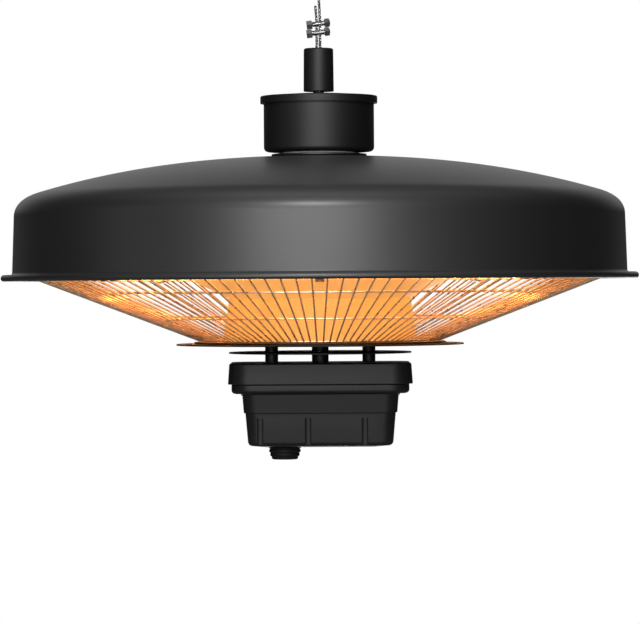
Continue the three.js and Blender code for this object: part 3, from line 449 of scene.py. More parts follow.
class Paint(Network):
    """A material in the making. Plain values are set on the shader's own sockets."""

    def __init__(self, name, values=None):
        self.material = bpy.data.materials.new(name)
        super().__init__(self.material)
        self.shader = self.tree.nodes["Principled BSDF"]
        for socket, value in (values or {}).items():
            self.shader.inputs[socket].default_value = value
        self.place = self.node("TexCoord", output="Object")

    def noise(self, scale, detail=2.0, where=None):
        """Soft random values round 0.5, with about scale bumps a metre."""
        where = where or self.place
        return self.node("TexNoise", None, Vector=where, Scale=scale, Detail=detail, output="Fac")

    def ramp(self, value, *stops):
        """The colour at a value between stops of (place, colour)."""
        return self.node("ValToRGB", {"stops": stops}, value)

    def feed(self, socket, value):
        """Links an output to one of the shader's sockets."""
        self.tree.links.new(value.socket, self.shader.inputs[socket])

    def tint(self, value, colour, *shares):
        """Makes the base colour a share of the given one, with (place, share) stops along a value."""
        stops = [(place, np.array(colour) * share) for place, share in shares]
        self.feed("Base Color", self.ramp(value, *stops))

    def bump(self, height, depth_mm, strength=1.0):
        """Relief from a height of 0 to 1, at its real depth."""
        relief = {"Height": height, "Strength": strength, "Distance": depth_mm * mm}
        self.feed("Normal", self.node("Bump", None, output="Normal", **relief))


# %% [markdown]
# ### Black finishes
# The dome has a satin powder coat: a nearly black paint with a fine orange-peel relief. The canister and
# the boss wear the same paint a little smoother, so their highlight is narrower. The plate that the guard
# stands on is browned by heat, and the control box is moulded plastic with a fine spark-eroded grain.


# %% Paints and plastics
def coat(name, colour, roughness, spread, grain_mm, relief_mm, metallic=0.0, gloss=0.35, varnish=None):
    """A coat with clouded roughness, faint mottling and a fine relief, and a clear varnish if it has one.
    Spread is how far the clouds change the roughness, and the fine grain changes it by another 0.06."""
    paint = Paint(name, {"Metallic": metallic, "Specular IOR Level": gloss})
    if varnish is not None:
        paint.shader.inputs["Coat Weight"].default_value = 1
        paint.shader.inputs["Coat Roughness"].default_value = varnish
    cloud = paint.noise(14, 3)
    fine = paint.noise(1000 / grain_mm, 1)
    paint.tint(cloud, colour, (0.3, 0.8), (0.7, 1.25))
    paint.feed("Roughness", roughness + (cloud - 0.5) * spread + (fine - 0.5) * 0.06)
    paint.bump(fine, relief_mm)
    return paint.material


dome_coat = coat("dome_coat", (0.0024, 0.0023, 0.0026), 0.62, 0.06, 0.9, 0.012, gloss=1, varnish=0.36)
canister_coat = coat("canister_coat", (0.0030, 0.0030, 0.0031), 0.55, 0.06, 0.8, 0.008, gloss=0.7)
shield_coat = coat("shield_coat", (0.0060, 0.0058, 0.0058), 0.45, 0.1, 0.7, 0.01, gloss=0.3)
hot_plate_coat = coat("hot_plate_coat", (0.035, 0.026, 0.021), 0.42, 0.15, 0.5, 0.01, metallic=0.4)
box_plastic = coat("box_plastic", (0.0100, 0.0098, 0.0098), 0.5, 0.06, 0.35, 0.02, gloss=0.5)
gland_plastic = coat("gland_plastic", (0.0100, 0.0100, 0.0104), 0.42, 0.05, 0.5, 0.006, gloss=0.5)
soft_rubber = coat("soft_rubber", (0.0070, 0.0070, 0.0070), 0.65, 0.1, 0.3, 0.015, gloss=0.4)
print("seven black finishes")

# %% [markdown]
# ### Metals
# Zinc plate is bright with faint blue and grey clouds. The reflector and the drum are brushed aluminium,
# with fine lines that run away from the axis and down the drum. They come from noise that changes fast with
# the angle and slowly along the sheet. Both are lit by the ring's real light, and on top of it they carry
# painted light: a warm emission that falls off away from the ring and stands for what bounces between them.


# %% Metals
def plated(name, colour, roughness, metallic=1.0):
    """Zinc plate: cloudy grains in colour and gloss, about 4 mm across, with clouds of 11 mm over them."""
    paint = Paint(name, {"Metallic": metallic})
    grain = paint.node("TexVoronoi", {"feature": "F1"}, Vector=paint.place, Scale=260.0, output="Color")
    cloud = paint.noise(90, 3)
    patches = cloud * 0.7 + paint.parts(grain)[0] * 0.3
    paint.tint(patches, colour, (0.25, 0.82), (0.75, 1.08))
    paint.feed("Roughness", roughness + (patches - 0.5) * 0.2)
    paint.bump(paint.noise(900, 2), 0.01)
    return paint.material


def brushed(name, colour, roughness, painted_glow_radius, fall_off, strength):
    """Brushed aluminium with painted light on it: an emission, brightest near the ring, that stands for the
    ring's light bouncing between the sheets. Its level is 1 over 1 plus the square of the distance from the
    glow's brightest radius over the fall-off."""
    paint = Paint(name, {"Metallic": 0.4, "Emission Strength": strength})
    x, y, z = paint.parts(paint.place)
    radius = paint.node("Math", {"operation": "SQRT"}, x * x + y * y)
    angle = paint.node("Math", {"operation": "ARCTAN2"}, y, x)
    lines, drift = 70, 12
    where = paint.node("CombineXYZ", None, angle * lines, radius * drift, z * drift)
    marks = paint.noise(1.0, 3, where)
    paint.tint(marks, colour, (0.3, 0.86), (0.7, 1.04))
    paint.feed("Roughness", roughness + (marks - 0.5) * 0.25)
    # Painted light: this emission stands for the ring's light bouncing between reflector and drum, not a
    # glow of the metal
    away = (radius - painted_glow_radius) * (1 / fall_off)
    level = (0.8 + marks * 0.4) / (1 + away * away)
    glow = paint.ramp(level, (0, dull_red), (0.5, orange), (1, warm_light))
    paint.feed("Emission Color", glow)
    paint.bump(marks, 0.03, 0.5)
    return paint.material


# The first three are the colours of that painted bounce light, from dim to bright
dull_red, orange, warm_light = (0.35, 0.07, 0.01), (0.9, 0.33, 0.06), (1.0, 0.46, 0.10)
zinc = plated("zinc", (0.56, 0.57, 0.59), 0.3)
clamp_steel = plated("clamp_steel", (0.62, 0.62, 0.64), 0.12)
stranded_steel = plated("stranded_steel", (0.34, 0.34, 0.35), 0.16)
guard_steel = plated("guard_steel", (0.86, 0.68, 0.48), 0.3, metallic=0.72)
# The reflector and the drum carry the painted bounce light from the ring as emission
spun_reflector = brushed("spun_reflector", (0.50, 0.44, 0.33), 0.5, 0.135, 0.12, 0.62)
rolled_drum = brushed("rolled_drum", (0.42, 0.28, 0.12), 0.6, 0.08, 0.04, 0.56)
print("zinc, clamp steel, stranded steel, guard steel and two brushed sheets")

# %% [markdown]
# ### Hot and hidden finishes
# The heater is on. A coil glows inside a clear quartz tube, which lights the wires and the shields. Ceramic,
# fibre and the parts inside the box complete the list.


# %% Glow, ceramic and the parts inside
glow_colour = (1.0, 0.42, 0.10)


def glowing(name, strength, alpha=1.0):
    """A hot surface, a little brighter and darker along it."""
    paint = Paint(name, {"Base Color": (0.9, 0.5, 0.25, 1), "Roughness": 0.2, "Alpha": alpha})
    paint.shader.inputs["Emission Strength"].default_value = strength
    warm = paint.noise(60, 2)
    cooler = np.array(glow_colour) * (0.92, 0.8, 0.7)
    paint.feed("Emission Color", paint.ramp(warm, (0.35, cooler), (0.65, glow_colour)))
    return paint.material


def mottled(name, colour, roughness, scale, relief_mm=0.02):
    """A plain material with grain."""
    paint = Paint(name)
    grain = paint.noise(scale, 4)
    paint.tint(grain, colour, (0.3, 0.85), (0.7, 1.1))
    paint.feed("Roughness", roughness + (grain - 0.5) * 0.15)
    paint.bump(grain, relief_mm)
    return paint.material


quartz_glow = glowing("quartz_glow", 3.0, alpha=0.25)
coil_glow = glowing("coil_glow", 90.0)
pale_fibre = mottled("pale_fibre", (0.62, 0.61, 0.58), 0.75, 900, 0.04)
white_ceramic = mottled("white_ceramic", (0.78, 0.74, 0.66), 0.55, 500)
board_green = mottled("board_green", (0.02, 0.10, 0.045), 0.4, 300)
relay_blue = mottled("relay_blue", (0.03, 0.08, 0.26), 0.35, 200, 0.005)
receiver_window = mottled("receiver_window", (0.02, 0.004, 0.005), 0.08, 100, 0.001)
print("glow, ceramic, fibre and three finishes for the inside")

# %% [markdown]
# ## The rope
# The rope is 1.8 mm steel cable. It is the one free cord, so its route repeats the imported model's points.
# Six strands round a core give a section like a flower: at an angle t from the middle of a strand, the
# radius is 2a cos(t) + sqrt(a^2 - (2a sin(t))^2), with a the strand's radius. Twisting that section along
# the route lays the strands up, one turn in each 12 mm.

# %% The rope
rope_route = [
    (-1.9, 0, -79), (-1.6, 0, -83), (-1.2, 0, -88), (-1.1, 0, -92), (-1.1, 0, -97), (-1.1, 0, -102),
    (-1.2, 0, -106.5), (-2.9, 0, -111.3), (-4, 0, -115.4), (-2.83, 0, -118.3), (0, 0, -119.5),
    (2.83, 0, -118.3), (4, 0, -115.4), (2.9, 0, -111.3), (1.2, 0, -106.5), (1.1, 0, -102), (1.1, 0, -97),
    (1.1, 0, -92), (1, 0.1, -87), (0.6, 0.7, -78), (0.1, 1.1, -68), (0, 1.1, -61), (0, 1.1, -53),
    (0, 1.2, -46), (0, 1.8, -36), (0, 3, -24), (0, 4, -13.6), (0, 2.83, -10.7), (0, 0, -9.5),
    (0, -2.83, -10.7), (0, -4, -13.6), (0, -3, -24), (0, -1.8, -36), (0, -1.2, -46), (0, -1.1, -53),
    (0, -1.1, -61), (0.1, -1.2, -66), (0.4, -1.6, -70),
]
rope_radius = 0.9
strands = 6
lay_length = 12
rope_step = 0.25

rope_length = np.linalg.norm(np.diff(smooth_path(rope_route, 2000), axis=0), axis=1).sum()
rope_path = smooth_path(rope_route, int(rope_length / rope_step))
strand = rope_radius / 3
rope_sides = 48
lobe = (around(rope_sides) + np.pi / strands) % (2 * np.pi / strands) - np.pi / strands
flower = 2 * strand * np.cos(lobe) + np.sqrt(np.maximum(strand**2 - (2 * strand * np.sin(lobe)) ** 2, 0))
lay = np.linspace(0, rope_length / lay_length * 2 * np.pi, len(rope_path))
# The lower loop spreads along X and the upper one along Y, so the side vector turns from Y to X on the way
cross_over, cross_length = -90, 30
share = np.clip((rope_path[:, 2] - cross_over) / cross_length, 0, 1)[:, None]
rope_side = (1 - share) * [0, 1, 0] + share * [1, 0, 0]
rope = piece("steel_rope", swept(rope_path, flower, rope_sides, rope_side, turn=lay), "rope",
             stranded_steel, ["wire_rope"], base=0, sharp=60)
print(f"{rope_length:.0f} mm of rope in {len(rope_path)} sections")

# %% [markdown]
# The helpers here serve the metal fittings, the gland and the box. A screw thread could be a picture of
# grooves, but close to it the outline would be smooth, so it is a true helix. Nuts and pins are made upright
# and laid down. A Boolean modifier takes holes, slots and grooves out of a finished piece.


# %% Threads, laid parts and cuts
def threaded(radius, bottom, top, pitch, bore=on_axis, columns=28):
    """A threaded rod: its radius is the full one less 0.6 pitches times a triangle wave of
    height / pitch - angle / 360 degrees, and fades to a chamfer at the ends."""
    rows = int((top - bottom) / pitch * 6) + 1
    height = np.linspace(bottom, top, rows)[:, None]
    angle = around(columns)
    wave = (height / pitch - angle / (2 * np.pi)) % 1
    depth = 0.6 * pitch * np.abs(2 * wave - 1)
    chamfer = np.maximum(0, pitch - np.minimum(height - bottom, top - height)) * 0.7
    reach = radius - np.maximum(depth, chamfer)
    inner = np.full((1, columns), bore)
    reach = np.concatenate([inner, reach, inner])
    height = np.concatenate([height[:1], height, height[-1:]])
    return grid_part(polar(reach, angle, height), close_rows=True)


def laid_along_x(part):
    """What was made along Z, turned so that it runs along X."""
    x, y, z = part[0].T
    return np.stack([z, y, -x], -1), part[1]


def laid_along_y(part):
    """What was made along Z, turned so that it runs along Y."""
    x, y, z = part[0].T
    return np.stack([x, z, -y], -1), part[1]


def cut_out(made, part):
    """Takes a part, given in the piece's own millimetres and heights above the ceiling, out of a piece."""
    mesh = bpy.data.meshes.new("cutter")
    mesh.from_pydata(part[0] * mm, [], part[1])
    closed_skin(mesh)
    cutter = bpy.data.objects.new("cutter", mesh)
    scene.collection.objects.link(cutter)
    modifier = made.modifiers.new("cut", "BOOLEAN")
    modifier.operation, modifier.solver, modifier.object = "DIFFERENCE", "EXACT", cutter
    bpy.context.view_layer.update()
    finished = bpy.data.meshes.new_from_object(made.evaluated_get(bpy.context.evaluated_depsgraph_get()))
    made.modifiers.clear()
    made.data = finished
    shade(finished, default_sharp)
    bpy.data.objects.remove(cutter)


# %% [markdown]
# The rope hangs on a bent rod under a round plate with two screw holes. The plate's edge is rounded by a
# bevel, and the rod's bends come from a profile with rounded corners.

# %% Ceiling plate and bail
screw_gap, screw_hole = 26, 2.2
bail_gap, bail_hole = 18, 2.35
plate_holes = [(way * bail_gap / 2, 0, bail_hole) for way in (-1, 1)]
plate_holes += [(0, way * screw_gap / 2, screw_hole) for way in (-1, 1)]
plate_low, plate_high = span("ceiling_plate", 0)
ceiling_plate = piece("mounting_plate", drilled_disc(plate_high[0], plate_low[2], 0, plate_holes, 0.4),
                      "ceiling_fitting", zinc, ["ceiling_plate"], base=0)

bail_rod = 2.2
bail_bar = span("ceiling_bail", 0)[0][2] + bail_rod
side = bail_gap / 2
bend_radius, bail_top = 4, -0.1
bend = profile((-side, bail_top), (-side, bail_bar, bend_radius), (side, bail_bar, bend_radius),
               (side, bail_top), steps=12)
bail_path = np.column_stack([bend[:, 0], 0 * bend[:, 0], bend[:, 1]])
bail = piece("bent_bail", swept(bail_path, bail_rod, 28, (0, 1, 0)), "ceiling_fitting", zinc,
             ["ceiling_bail"], base=0)
print(f"a plate {2 * plate_high[0]:.0f} mm across with its bail")

# %% [markdown]
# The upper loop is closed by a pressed oval sleeve. Pressing leaves shallow waists along it: their depth is
# a squared sine along the sleeve, which fades out at the ends, where a quarter circle rounds the edge.

# %% Pressed sleeve
sleeve_low, sleeve_high = span("upper_ferrule", 0)
share = np.linspace(0, 1, 49)
waists, waist_depth, edge_round = 3, 0.32, 0.45
waist = waist_depth * np.sin(waists * np.pi * share) ** 2 * (1 - (2 * share - 1) ** 8)
rounding = edge_round * (1 - np.sqrt(1 - np.clip(np.abs(2 * share - 1) * 12 - 11, 0, 1) ** 2))
sleeve_line = np.column_stack([waist + rounding, sleeve_low[2] + share * (sleeve_high[2] - sleeve_low[2])])
sleeve_x, sleeve_y = 2 * sleeve_high[:2]
ferrule = piece("pressed_sleeve", boxed(sleeve_x, sleeve_y, sleeve_x / 2, sleeve_line), "rope",
                zinc, ["upper_ferrule"], base=0)
print(f"a sleeve with {waists} waists")

# %% [markdown]
# Above the boss, two clamps pinch both legs of the rope. Each is a bolt whose slot the rope hides, with a
# hexagonal head on the left and its nut on the right. The hexagons have the chamfer that real ones get
# from turning.

# %% Clamps
clamp_rod = 1.95
clamp_half = 4.1
clamp_hex = 5.5
clamp_head, clamp_nut = 3.8, 3.4
clamp_lean = np.radians(7)
clamp_drops = {1: 96.9, 2: 91.0}
thread_pitch = 0.7
bolt = together(hexagon(clamp_hex, -clamp_half - clamp_head, -clamp_half),
                threaded(clamp_rod, -clamp_half, clamp_half + clamp_head, thread_pitch))
nut = hexagon(clamp_hex, clamp_half, clamp_half + clamp_nut, clamp_rod)
for number, drop in clamp_drops.items():
    for kind, part in (("bolt", bolt), ("nut", nut)):
        across = moved(leant(laid_along_x(part), -clamp_lean), z=-drop)
        piece(f"clamp_{kind}_{number}", across, "rope", clamp_steel,
                            [f"lower_clamp_{number}_{kind}"], base=0)

# %% [markdown]
# ## The boss, the canister and the stem
# Below the rope everything is strung on one hollow threaded stem, which most parts have a hole for. The
# boss is a turned cover over a steel cup. A cross pin in the cup carries the rope's loop. The canister is a
# drawn steel can with a lid that reaches over its edge, and a cable gland at the back.

# %% Boss and stem
stem_hole = 4.3
mouth = 6.2
cover_foot, cover_top, cover_roof = 125.8, 154.6, 153.2
cover_bore = 8
boss_line = profile(
    (10.1, cover_foot, 0.35), (9.85, cover_top, 1.3), (mouth, cover_top, 0.5), (mouth, cover_roof),
    (cover_bore, cover_roof), (cover_bore, cover_foot), closed=True, steps=6)
cover = turned(boss_line, 96, closed=True)
piece("boss_cover", cover, "boss", canister_coat, ["boss_sleeve"])
cup_radius, cup_foot, cup_floor, cup_top = 7.7, 126.1, 130.5, 152.9
cup_line = profile(
    (stem_hole, cup_foot), (cup_radius, cup_foot, 0.2), (cup_radius, cup_top), (mouth, cup_top),
    (mouth, cup_floor, 0.4), (stem_hole, cup_floor), closed=True)
piece("boss_cup", turned(cup_line, 72, closed=True), "boss", zinc, ["boss_core"])
pin_radius, pin_reach, pin_height = 2.2, 7.38, 146
pin_line = profile((0, -pin_reach), (pin_radius, -pin_reach, 0.3), (pin_radius, pin_reach, 0.3),
                   (0, pin_reach))
pin = moved(laid_along_y(turned(pin_line, 40)), z=pin_height)
piece("boss_cross_pin", pin, "boss", zinc, ["boss_pin"])

stem_low, stem_high = span("centre_stem")
stem_radius, stem_bore, stem_pitch = 4, 2.6, 1.25
stem = threaded(stem_radius, stem_low[2], stem_high[2], stem_pitch, stem_bore, columns=24)
piece("threaded_stem", stem, "heater", zinc, ["centre_stem"])
print("boss and stem")

# %% Canister, lid and gland
can_radius = 36.85
can_bottom, can_top = 85.5, 121
can_sheet = 1.5
can_bore = can_radius - can_sheet
can_line = profile(
    (stem_hole, can_bottom), (can_radius, can_bottom, 3), (can_radius, can_top, 0.3),
    (can_bore, can_top, 0.3), (can_bore, can_bottom + can_sheet, 2), (stem_hole, can_bottom + can_sheet),
    closed=True, steps=8)
can = turned(can_line, 192, closed=True)
piece("canister_can", can, "heater", canister_coat, ["canister_body"])
lid_radius, lid_rim, lid_foot = 39.1, 122.7, 117.7
skirt_radius = can_radius + 0.3
bow_radius = 21.5
lid_line = profile(
    (stem_hole, 124.3), (bow_radius, 123.9, 40), (skirt_radius, 122.75, 2), (lid_radius, lid_rim, 0.9),
    (lid_radius, lid_foot, 0.3), (skirt_radius, lid_foot, 0.2), (skirt_radius, 121.3, 0.6),
    (bow_radius, 122.5), (stem_hole, 122.9), closed=True, steps=8)
can_lid = turned(lid_line, 192, closed=True)
piece("canister_cover", can_lid, "heater", canister_coat, ["canister_lid"])

gland_height = can_bottom + 16
gland_seat = can_radius + 0.3
gland_end = span("cable_gland")[0][1]
gland_bore, gland_flats, gland_shank = 3.6, 16, 6
bush_radius = 5.1
cap_start = gland_seat + 5
cap_end = cap_start + 8
shank = sleeve(gland_bore, gland_shank, gland_end, gland_seat + 0.1, 0.5, 0, 48)
gland_nut = hexagon(gland_flats, gland_seat, cap_start, gland_bore, chamfer=0.9)
cap_line = profile((bush_radius, cap_start - 0.2), (7.45, cap_start - 0.2, 0.4), (7.6, cap_start + 4.2, 0.5),
                   (6.1, cap_end, 0.8), (bush_radius, cap_end, 0.3), closed=True)
# The cap's wide part has 24 grip ribs: its radius is less by up to 3.5 % between them
cap_segments, grip_ribs, grip_depth_share = 192, 24, 0.035
grip = 1 - grip_depth_share * (0.5 + 0.5 * np.cos(grip_ribs * around(cap_segments))) ** 2
cap_scale = np.where((cap_line[:, :1] > 7) & (cap_line[:, 1:] < cap_start + 5), grip, 1.0)
gland_cap = turned(cap_line, cap_segments, closed=True, scale=cap_scale)
bush_line = profile((gland_bore, cap_start), (bush_radius, cap_start), (bush_radius, cap_end - 0.6, 0.2),
                    (gland_bore, cap_end - 0.9, 0.4), closed=True)
bush = moved(laid_along_y(turned(bush_line, 64, closed=True)), z=gland_height)
gland = moved(laid_along_y(together(shank, gland_nut, gland_cap)), z=gland_height)
piece("gland_body", gland, "heater", gland_plastic, ["cable_gland"])
piece("gland_bush", bush, "heater", soft_rubber)
print("canister, its lid and the gland")

# %% [markdown]
# ## The dome
# The crown is a shallow curve: its height falls with radius to the power 2.35, so it is nearly flat in the
# middle and bends down towards the shoulder. A short wall follows, and the edge of the sheet is rolled out
# into a bead. One profile carried round the axis gives all of it, inside and out.

# %% Dome, top disc and washer
crown_height = 82.5
crown_fall = 23.55
crown_power = 2.35
crown_radius = 187
wall_top = (203.6, 42.5)
wall_foot = 204.95
rim_radius = span("dome_shell")[1][0]
bead = 2.15
sheet = 1.2


def crown_at(radius):
    """Height = crown height less the fall times (radius / crown radius) to the power of the crown."""
    return crown_height - crown_fall * (radius / crown_radius) ** crown_power


crown_r = np.linspace(4.3, crown_radius, 72)
crown_line = np.column_stack([crown_r, crown_at(crown_r)])
slope = crown_fall * crown_power / crown_radius
corner = np.array([wall_top[0], crown_at(crown_radius) - slope * (wall_top[0] - crown_radius)])
t = np.linspace(0, 1, 25)[1:, None]
shoulder = (1 - t) ** 2 * crown_line[-1] + 2 * t * (1 - t) * corner + t**2 * np.array(wall_top)
skin = np.concatenate([crown_line, shoulder])
along = np.gradient(skin, axis=0)
inner_skin = skin + sheet * unit(np.stack([along[:, 1], -along[:, 0]], -1))
bead_back = rim_radius - 2 * bead
bead_top = 2 * bead
edge_line = profile(
    wall_top, (wall_foot, bead_top, 1.4), (rim_radius, bead_top, bead), (rim_radius, 0, bead),
    (bead_back + 0.4, 0, 0.9), (bead_back, bead_top - sheet, 0.3),
    (wall_foot - sheet, bead_top - sheet, 0.6), (wall_top[0] - sheet, wall_top[1]), steps=7)
dome_line = np.concatenate([skin, edge_line[1:-1], inner_skin[::-1]])
piece("dome", turned(dome_line, 288, closed=True), "heater", dome_coat, ["dome_shell"],
      sharp=50)

disc_radius, disc_foot, disc_top = 31.75, 82.8, 84
disc = sleeve(stem_hole, disc_radius, disc_foot, disc_top, 0.3, 0.4, 160)
piece("dome_top_disc", disc, "heater", dome_coat, ["top_disc"])
washer_radius, washer_foot, washer_top = 24, 84.3, 85.2
washer = sleeve(stem_hole, washer_radius, washer_foot, washer_top, 0.15, 0.15, 128)
piece("fibre_washer", washer, "heater", pale_fibre, ["insulating_washer"])
print(f"dome of {len(dome_line)} rings, {2 * rim_radius:.0f} mm across its bead")

# %% [markdown]
# ## The reflector and the hot ring
# The cone closes the dome from below and throws the heat down. It is spun from one sheet, with soft bends.
# The drum under it hides the stem. The quartz tube runs round between them for 336 degrees, with its two
# ends in ceramic caps at the back, and the element inside it is a coil of resistance wire: a helix whose
# axis is the tube's own circle.

# %% Reflector, drum, tube and coil
reflector_edge = span("reflector_cone")[1][0]
foil = 0.8
neck_radius, neck_height = 61, -12
knee_radius, knee_height, knee_bend = 86, 0, 12
brow_radius, brow_height, brow_bend = 150, 27, 30
lip_height, lip_foot = 38, 33
lip_inside = reflector_edge - foil
reflector_line = profile(
    (neck_radius, neck_height), (knee_radius, knee_height, knee_bend), (brow_radius, brow_height, brow_bend),
    (lip_inside, lip_height, 1.5), (lip_inside, lip_foot), (reflector_edge, lip_foot),
    (reflector_edge, lip_height + foil, 2), (brow_radius, brow_height + foil, brow_bend),
    (knee_radius, knee_height + foil, knee_bend), (neck_radius, neck_height + foil), closed=True, steps=8)
cone = turned(reflector_line, 240, closed=True)
piece("spun_cone", cone, "heater", spun_reflector, ["reflector_cone"])
drum_low, drum_high = span("reflector_drum")
drum_foot, drum_radius, flare_height, flare_bend = 65, 60.7, -12.8, 3
drum_line = profile(
    (drum_foot, drum_low[2]), (drum_radius, flare_height, flare_bend), (drum_radius, drum_high[2]),
    (drum_radius - foil, drum_high[2]), (drum_radius - foil, flare_height, flare_bend),
    (drum_foot - foil, drum_low[2]), closed=True)
drum = turned(drum_line, 180, closed=True)
piece("rolled_drum", drum, "heater", rolled_drum, ["reflector_drum"])

tube_radius, tube_bore = 6, 4.4
ring_radius = 135
ring_height = span("quartz_tube")[0][2] + tube_radius
ring_sweep = np.radians(336)


def ring_points(count):
    """Points on the tube's circle, from one side of the gap at the back round to the other."""
    angle = np.pi / 2 + (2 * np.pi - ring_sweep) / 2 + np.linspace(0, ring_sweep, count)
    return polar(ring_radius, angle, ring_height)


tube_path = ring_points(200)
glass = np.concatenate([sections(tube_path, tube_radius, 24), sections(tube_path, tube_bore, 24)[::-1]])
quartz = grid_part(glass, close_rows=True)
piece("quartz_ring", quartz, "heater", quartz_glow, ["quartz_tube"])

coil_turns, steps_per_turn = 260, 10
coil_radius, coil_wire = 1.25, 0.35
coil_path = ring_points(coil_turns * steps_per_turn)
ahead = directions(coil_path)
outward = unit(coil_path * [1, 1, 0])
turn = np.linspace(0, coil_turns * 2 * np.pi, len(coil_path))[:, None]
coil_path = coil_path + coil_radius * (outward * np.cos(turn) + np.cross(ahead, outward) * np.sin(turn))
coil = swept(coil_path, coil_wire, 5)
piece("coiled_element", coil, "heater", coil_glow, ["heating_filament"])
print(f"reflector, drum and a ring {2 * ring_radius} mm across with {coil_turns} turns of wire in it")

# %% [markdown]
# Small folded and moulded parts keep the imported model's shape, but a copy with eased edges catches the
# light as real sheet and ceramic do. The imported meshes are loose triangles, so a copy is merged first and
# its flat faces are joined, and then a Bevel modifier rounds whatever edge is left.


# %% Parts with eased edges
def eased(name, node, material, width):
    """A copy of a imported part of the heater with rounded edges."""
    mesh = nodes[node].data.copy()
    made = bpy.data.objects.new(name, mesh)
    scene.collection.objects.link(made)
    work = bmesh.new()
    work.from_mesh(mesh)
    bmesh.ops.remove_doubles(work, verts=work.verts, dist=1e-5)
    bmesh.ops.dissolve_limit(work, angle_limit=np.radians(1), verts=work.verts, edges=work.edges)
    work.to_mesh(mesh)
    work.free()
    rounding = made.modifiers.new("eased edges", "BEVEL")
    rounding.width, rounding.segments, rounding.limit_method = width * mm, 2, "ANGLE"
    rounding.angle_limit = np.radians(28)
    rounding.use_clamp_overlap = True
    settle(made, "heater", material, [node], sharp=40)


for side_name in ("left", "right"):
    eased(f"ceramic_cap_{side_name}", f"end_cap_{side_name}", white_ceramic, 0.7)
for i in (1, 2, 3):
    eased(f"ring_hanger_{i}", f"tube_hanger_{i}", zinc, 0.25)
    eased(f"guard_hook_{i}", f"guard_clip_{i}", zinc, 0.3)
print("two ceramic caps, three hangers and three guard hooks")

# %% [markdown]
# ## The wire guard
# One hundred and twenty straight wires run from the hoop under the rim to the hoop on the base plate, and
# two more hoops are welded inside them. All the wires are the same straight rod turned about the axis. The
# hoops, but for the innermost, are of thicker wire.

# %% Guard
wire = 0.6
end_hoop_wire = 0.9
middle_hoop_wire = 0.72
wires = 120
wire_sides = 10
guard_inner = 81
guard_bottom = -40
guard_slope = np.radians(20.9)
guard_outer = span("wire_guard")[1][0] - wire


def guard_height(radius):
    """The wires lie on a cone: height rises with radius times the slope's tangent."""
    return guard_bottom + (radius - guard_inner) * np.tan(guard_slope)


wire_r = np.linspace(guard_inner, guard_outer, 6)
one_wire = swept(np.column_stack([wire_r, 0 * wire_r, guard_height(wire_r)]), wire, wire_sides)
lattice = [spun(one_wire, angle + np.pi / wires) for angle in around(wires)]
lattice.append(hoop(guard_inner, guard_height(guard_inner), wire))
lattice.append(hoop(guard_outer, guard_height(guard_outer), end_hoop_wire))
piece("guard_wires", together(*lattice), "heater", guard_steel, ["wire_guard"])
for i in (1, 2):
    low, high = span(f"guard_hoop_{i}")
    made = hoop(high[0] - wire, (low[2] + high[2]) / 2, middle_hoop_wire)
    piece(f"guard_middle_hoop_{i}", made, "heater", guard_steel, [f"guard_hoop_{i}"])
print(f"{wires} wires between hoops of {guard_inner} and {guard_outer:.0f} mm radius")

# %% [markdown]
# ## Heat shields and spacers
# Under the guard lie its base plate and two thin discs that keep the heat off the control box. Spacers
# hold them apart.

# %% Discs and spacers
side_x = 32.5
screw_way, spacer_way = 2.3, 4.6
for name, node, hole_radius, finish in (
    ("guard_base_plate", "guard_base", screw_way, hot_plate_coat),
    ("wide_shield", "large_heat_shield", screw_way, shield_coat),
    ("narrow_shield", "small_heat_shield", spacer_way, shield_coat),
):
    low, high = span(node)
    holes = [(0, 0, stem_hole), (-side_x, 0, hole_radius), (side_x, 0, hole_radius)]
    disc = drilled_disc(high[0], low[2], high[2], holes, 0.25, 200)
    piece(name, disc, "heater", finish, [node])


def spacer(name, node, bore, x=0.0):
    """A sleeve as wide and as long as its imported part."""
    low, high = span(node)
    outer = (high[0] - low[0]) / 2
    tube = sleeve(bore, outer, low[2], high[2], 0.4, 0.4, 56)
    piece(name, moved(tube, x), "heater", shield_coat, [node])


for place in ("upper", "lower"):
    spacer(f"stem_sleeve_{place}", f"stem_spacer_{place}", stem_hole)
for place, x in (("left", -side_x), ("right", side_x)):
    spacer(f"side_sleeve_{place}", f"side_spacer_{place}", screw_way, x)
print("three discs and four spacers")

# %% [markdown]
# ## The control box
# The box is moulded in two halves: a shallow lid, and a tub with a flange, a small step and a taper that
# lets it leave the mould. Each half is a stack of rounded rectangles whose inset follows a profile, so one
# line of points gives the walls, the rounded edges and the hollow inside.

# %% Box lid
box_low, box_high = span("box_lid")
box_width, box_depth = 2 * box_high[0], 2 * box_high[1]
box_corner, corner_share = 14, 0.5
box_wall = 2
lid_draft = 0.9
ceiling = box_high[2] - box_wall
lid_shape = profile(
    (box_wall + lid_draft + 1, ceiling), (box_wall + lid_draft, ceiling - 1), (box_wall, box_low[2], 0.3),
    (0, box_low[2], 0.4), (lid_draft, box_high[2], 0.7), (lid_draft + 2, box_high[2]), steps=6)
lid = boxed(box_width, box_depth, box_corner, lid_shape, corner_share)
piece("box_upper_half", lid, "heater", box_plastic, ["box_lid"])
print(f"a lid of {box_width:.0f} x {box_depth:.0f} mm")

# %% [markdown]
# The tub's floor is flat in the middle and slopes up to its edges.

# %% Tub
tub_low, tub_high = span("box_tub")
flange_in, flange_height = 2.3, 6
flange_top = tub_high[2]
flange_bottom = flange_top - flange_height
tub_in, tub_taper = 9.2, 3
tub_bottom = tub_low[2]
lean = tub_taper / (flange_bottom - tub_bottom)
step_in, step_drop, step_slope = 1, 12.7, 0.3
step_height = flange_bottom - step_drop
floor_rise, floor_border, floor_bend = 1.4, 12, 20
floor_edge = tub_bottom + floor_rise


def side_inset(height):
    """The wall's inset: the tub's, plus the lean times the depth below the flange, plus the step."""
    return tub_in + lean * (flange_bottom - height) + step_in * (height < step_height)


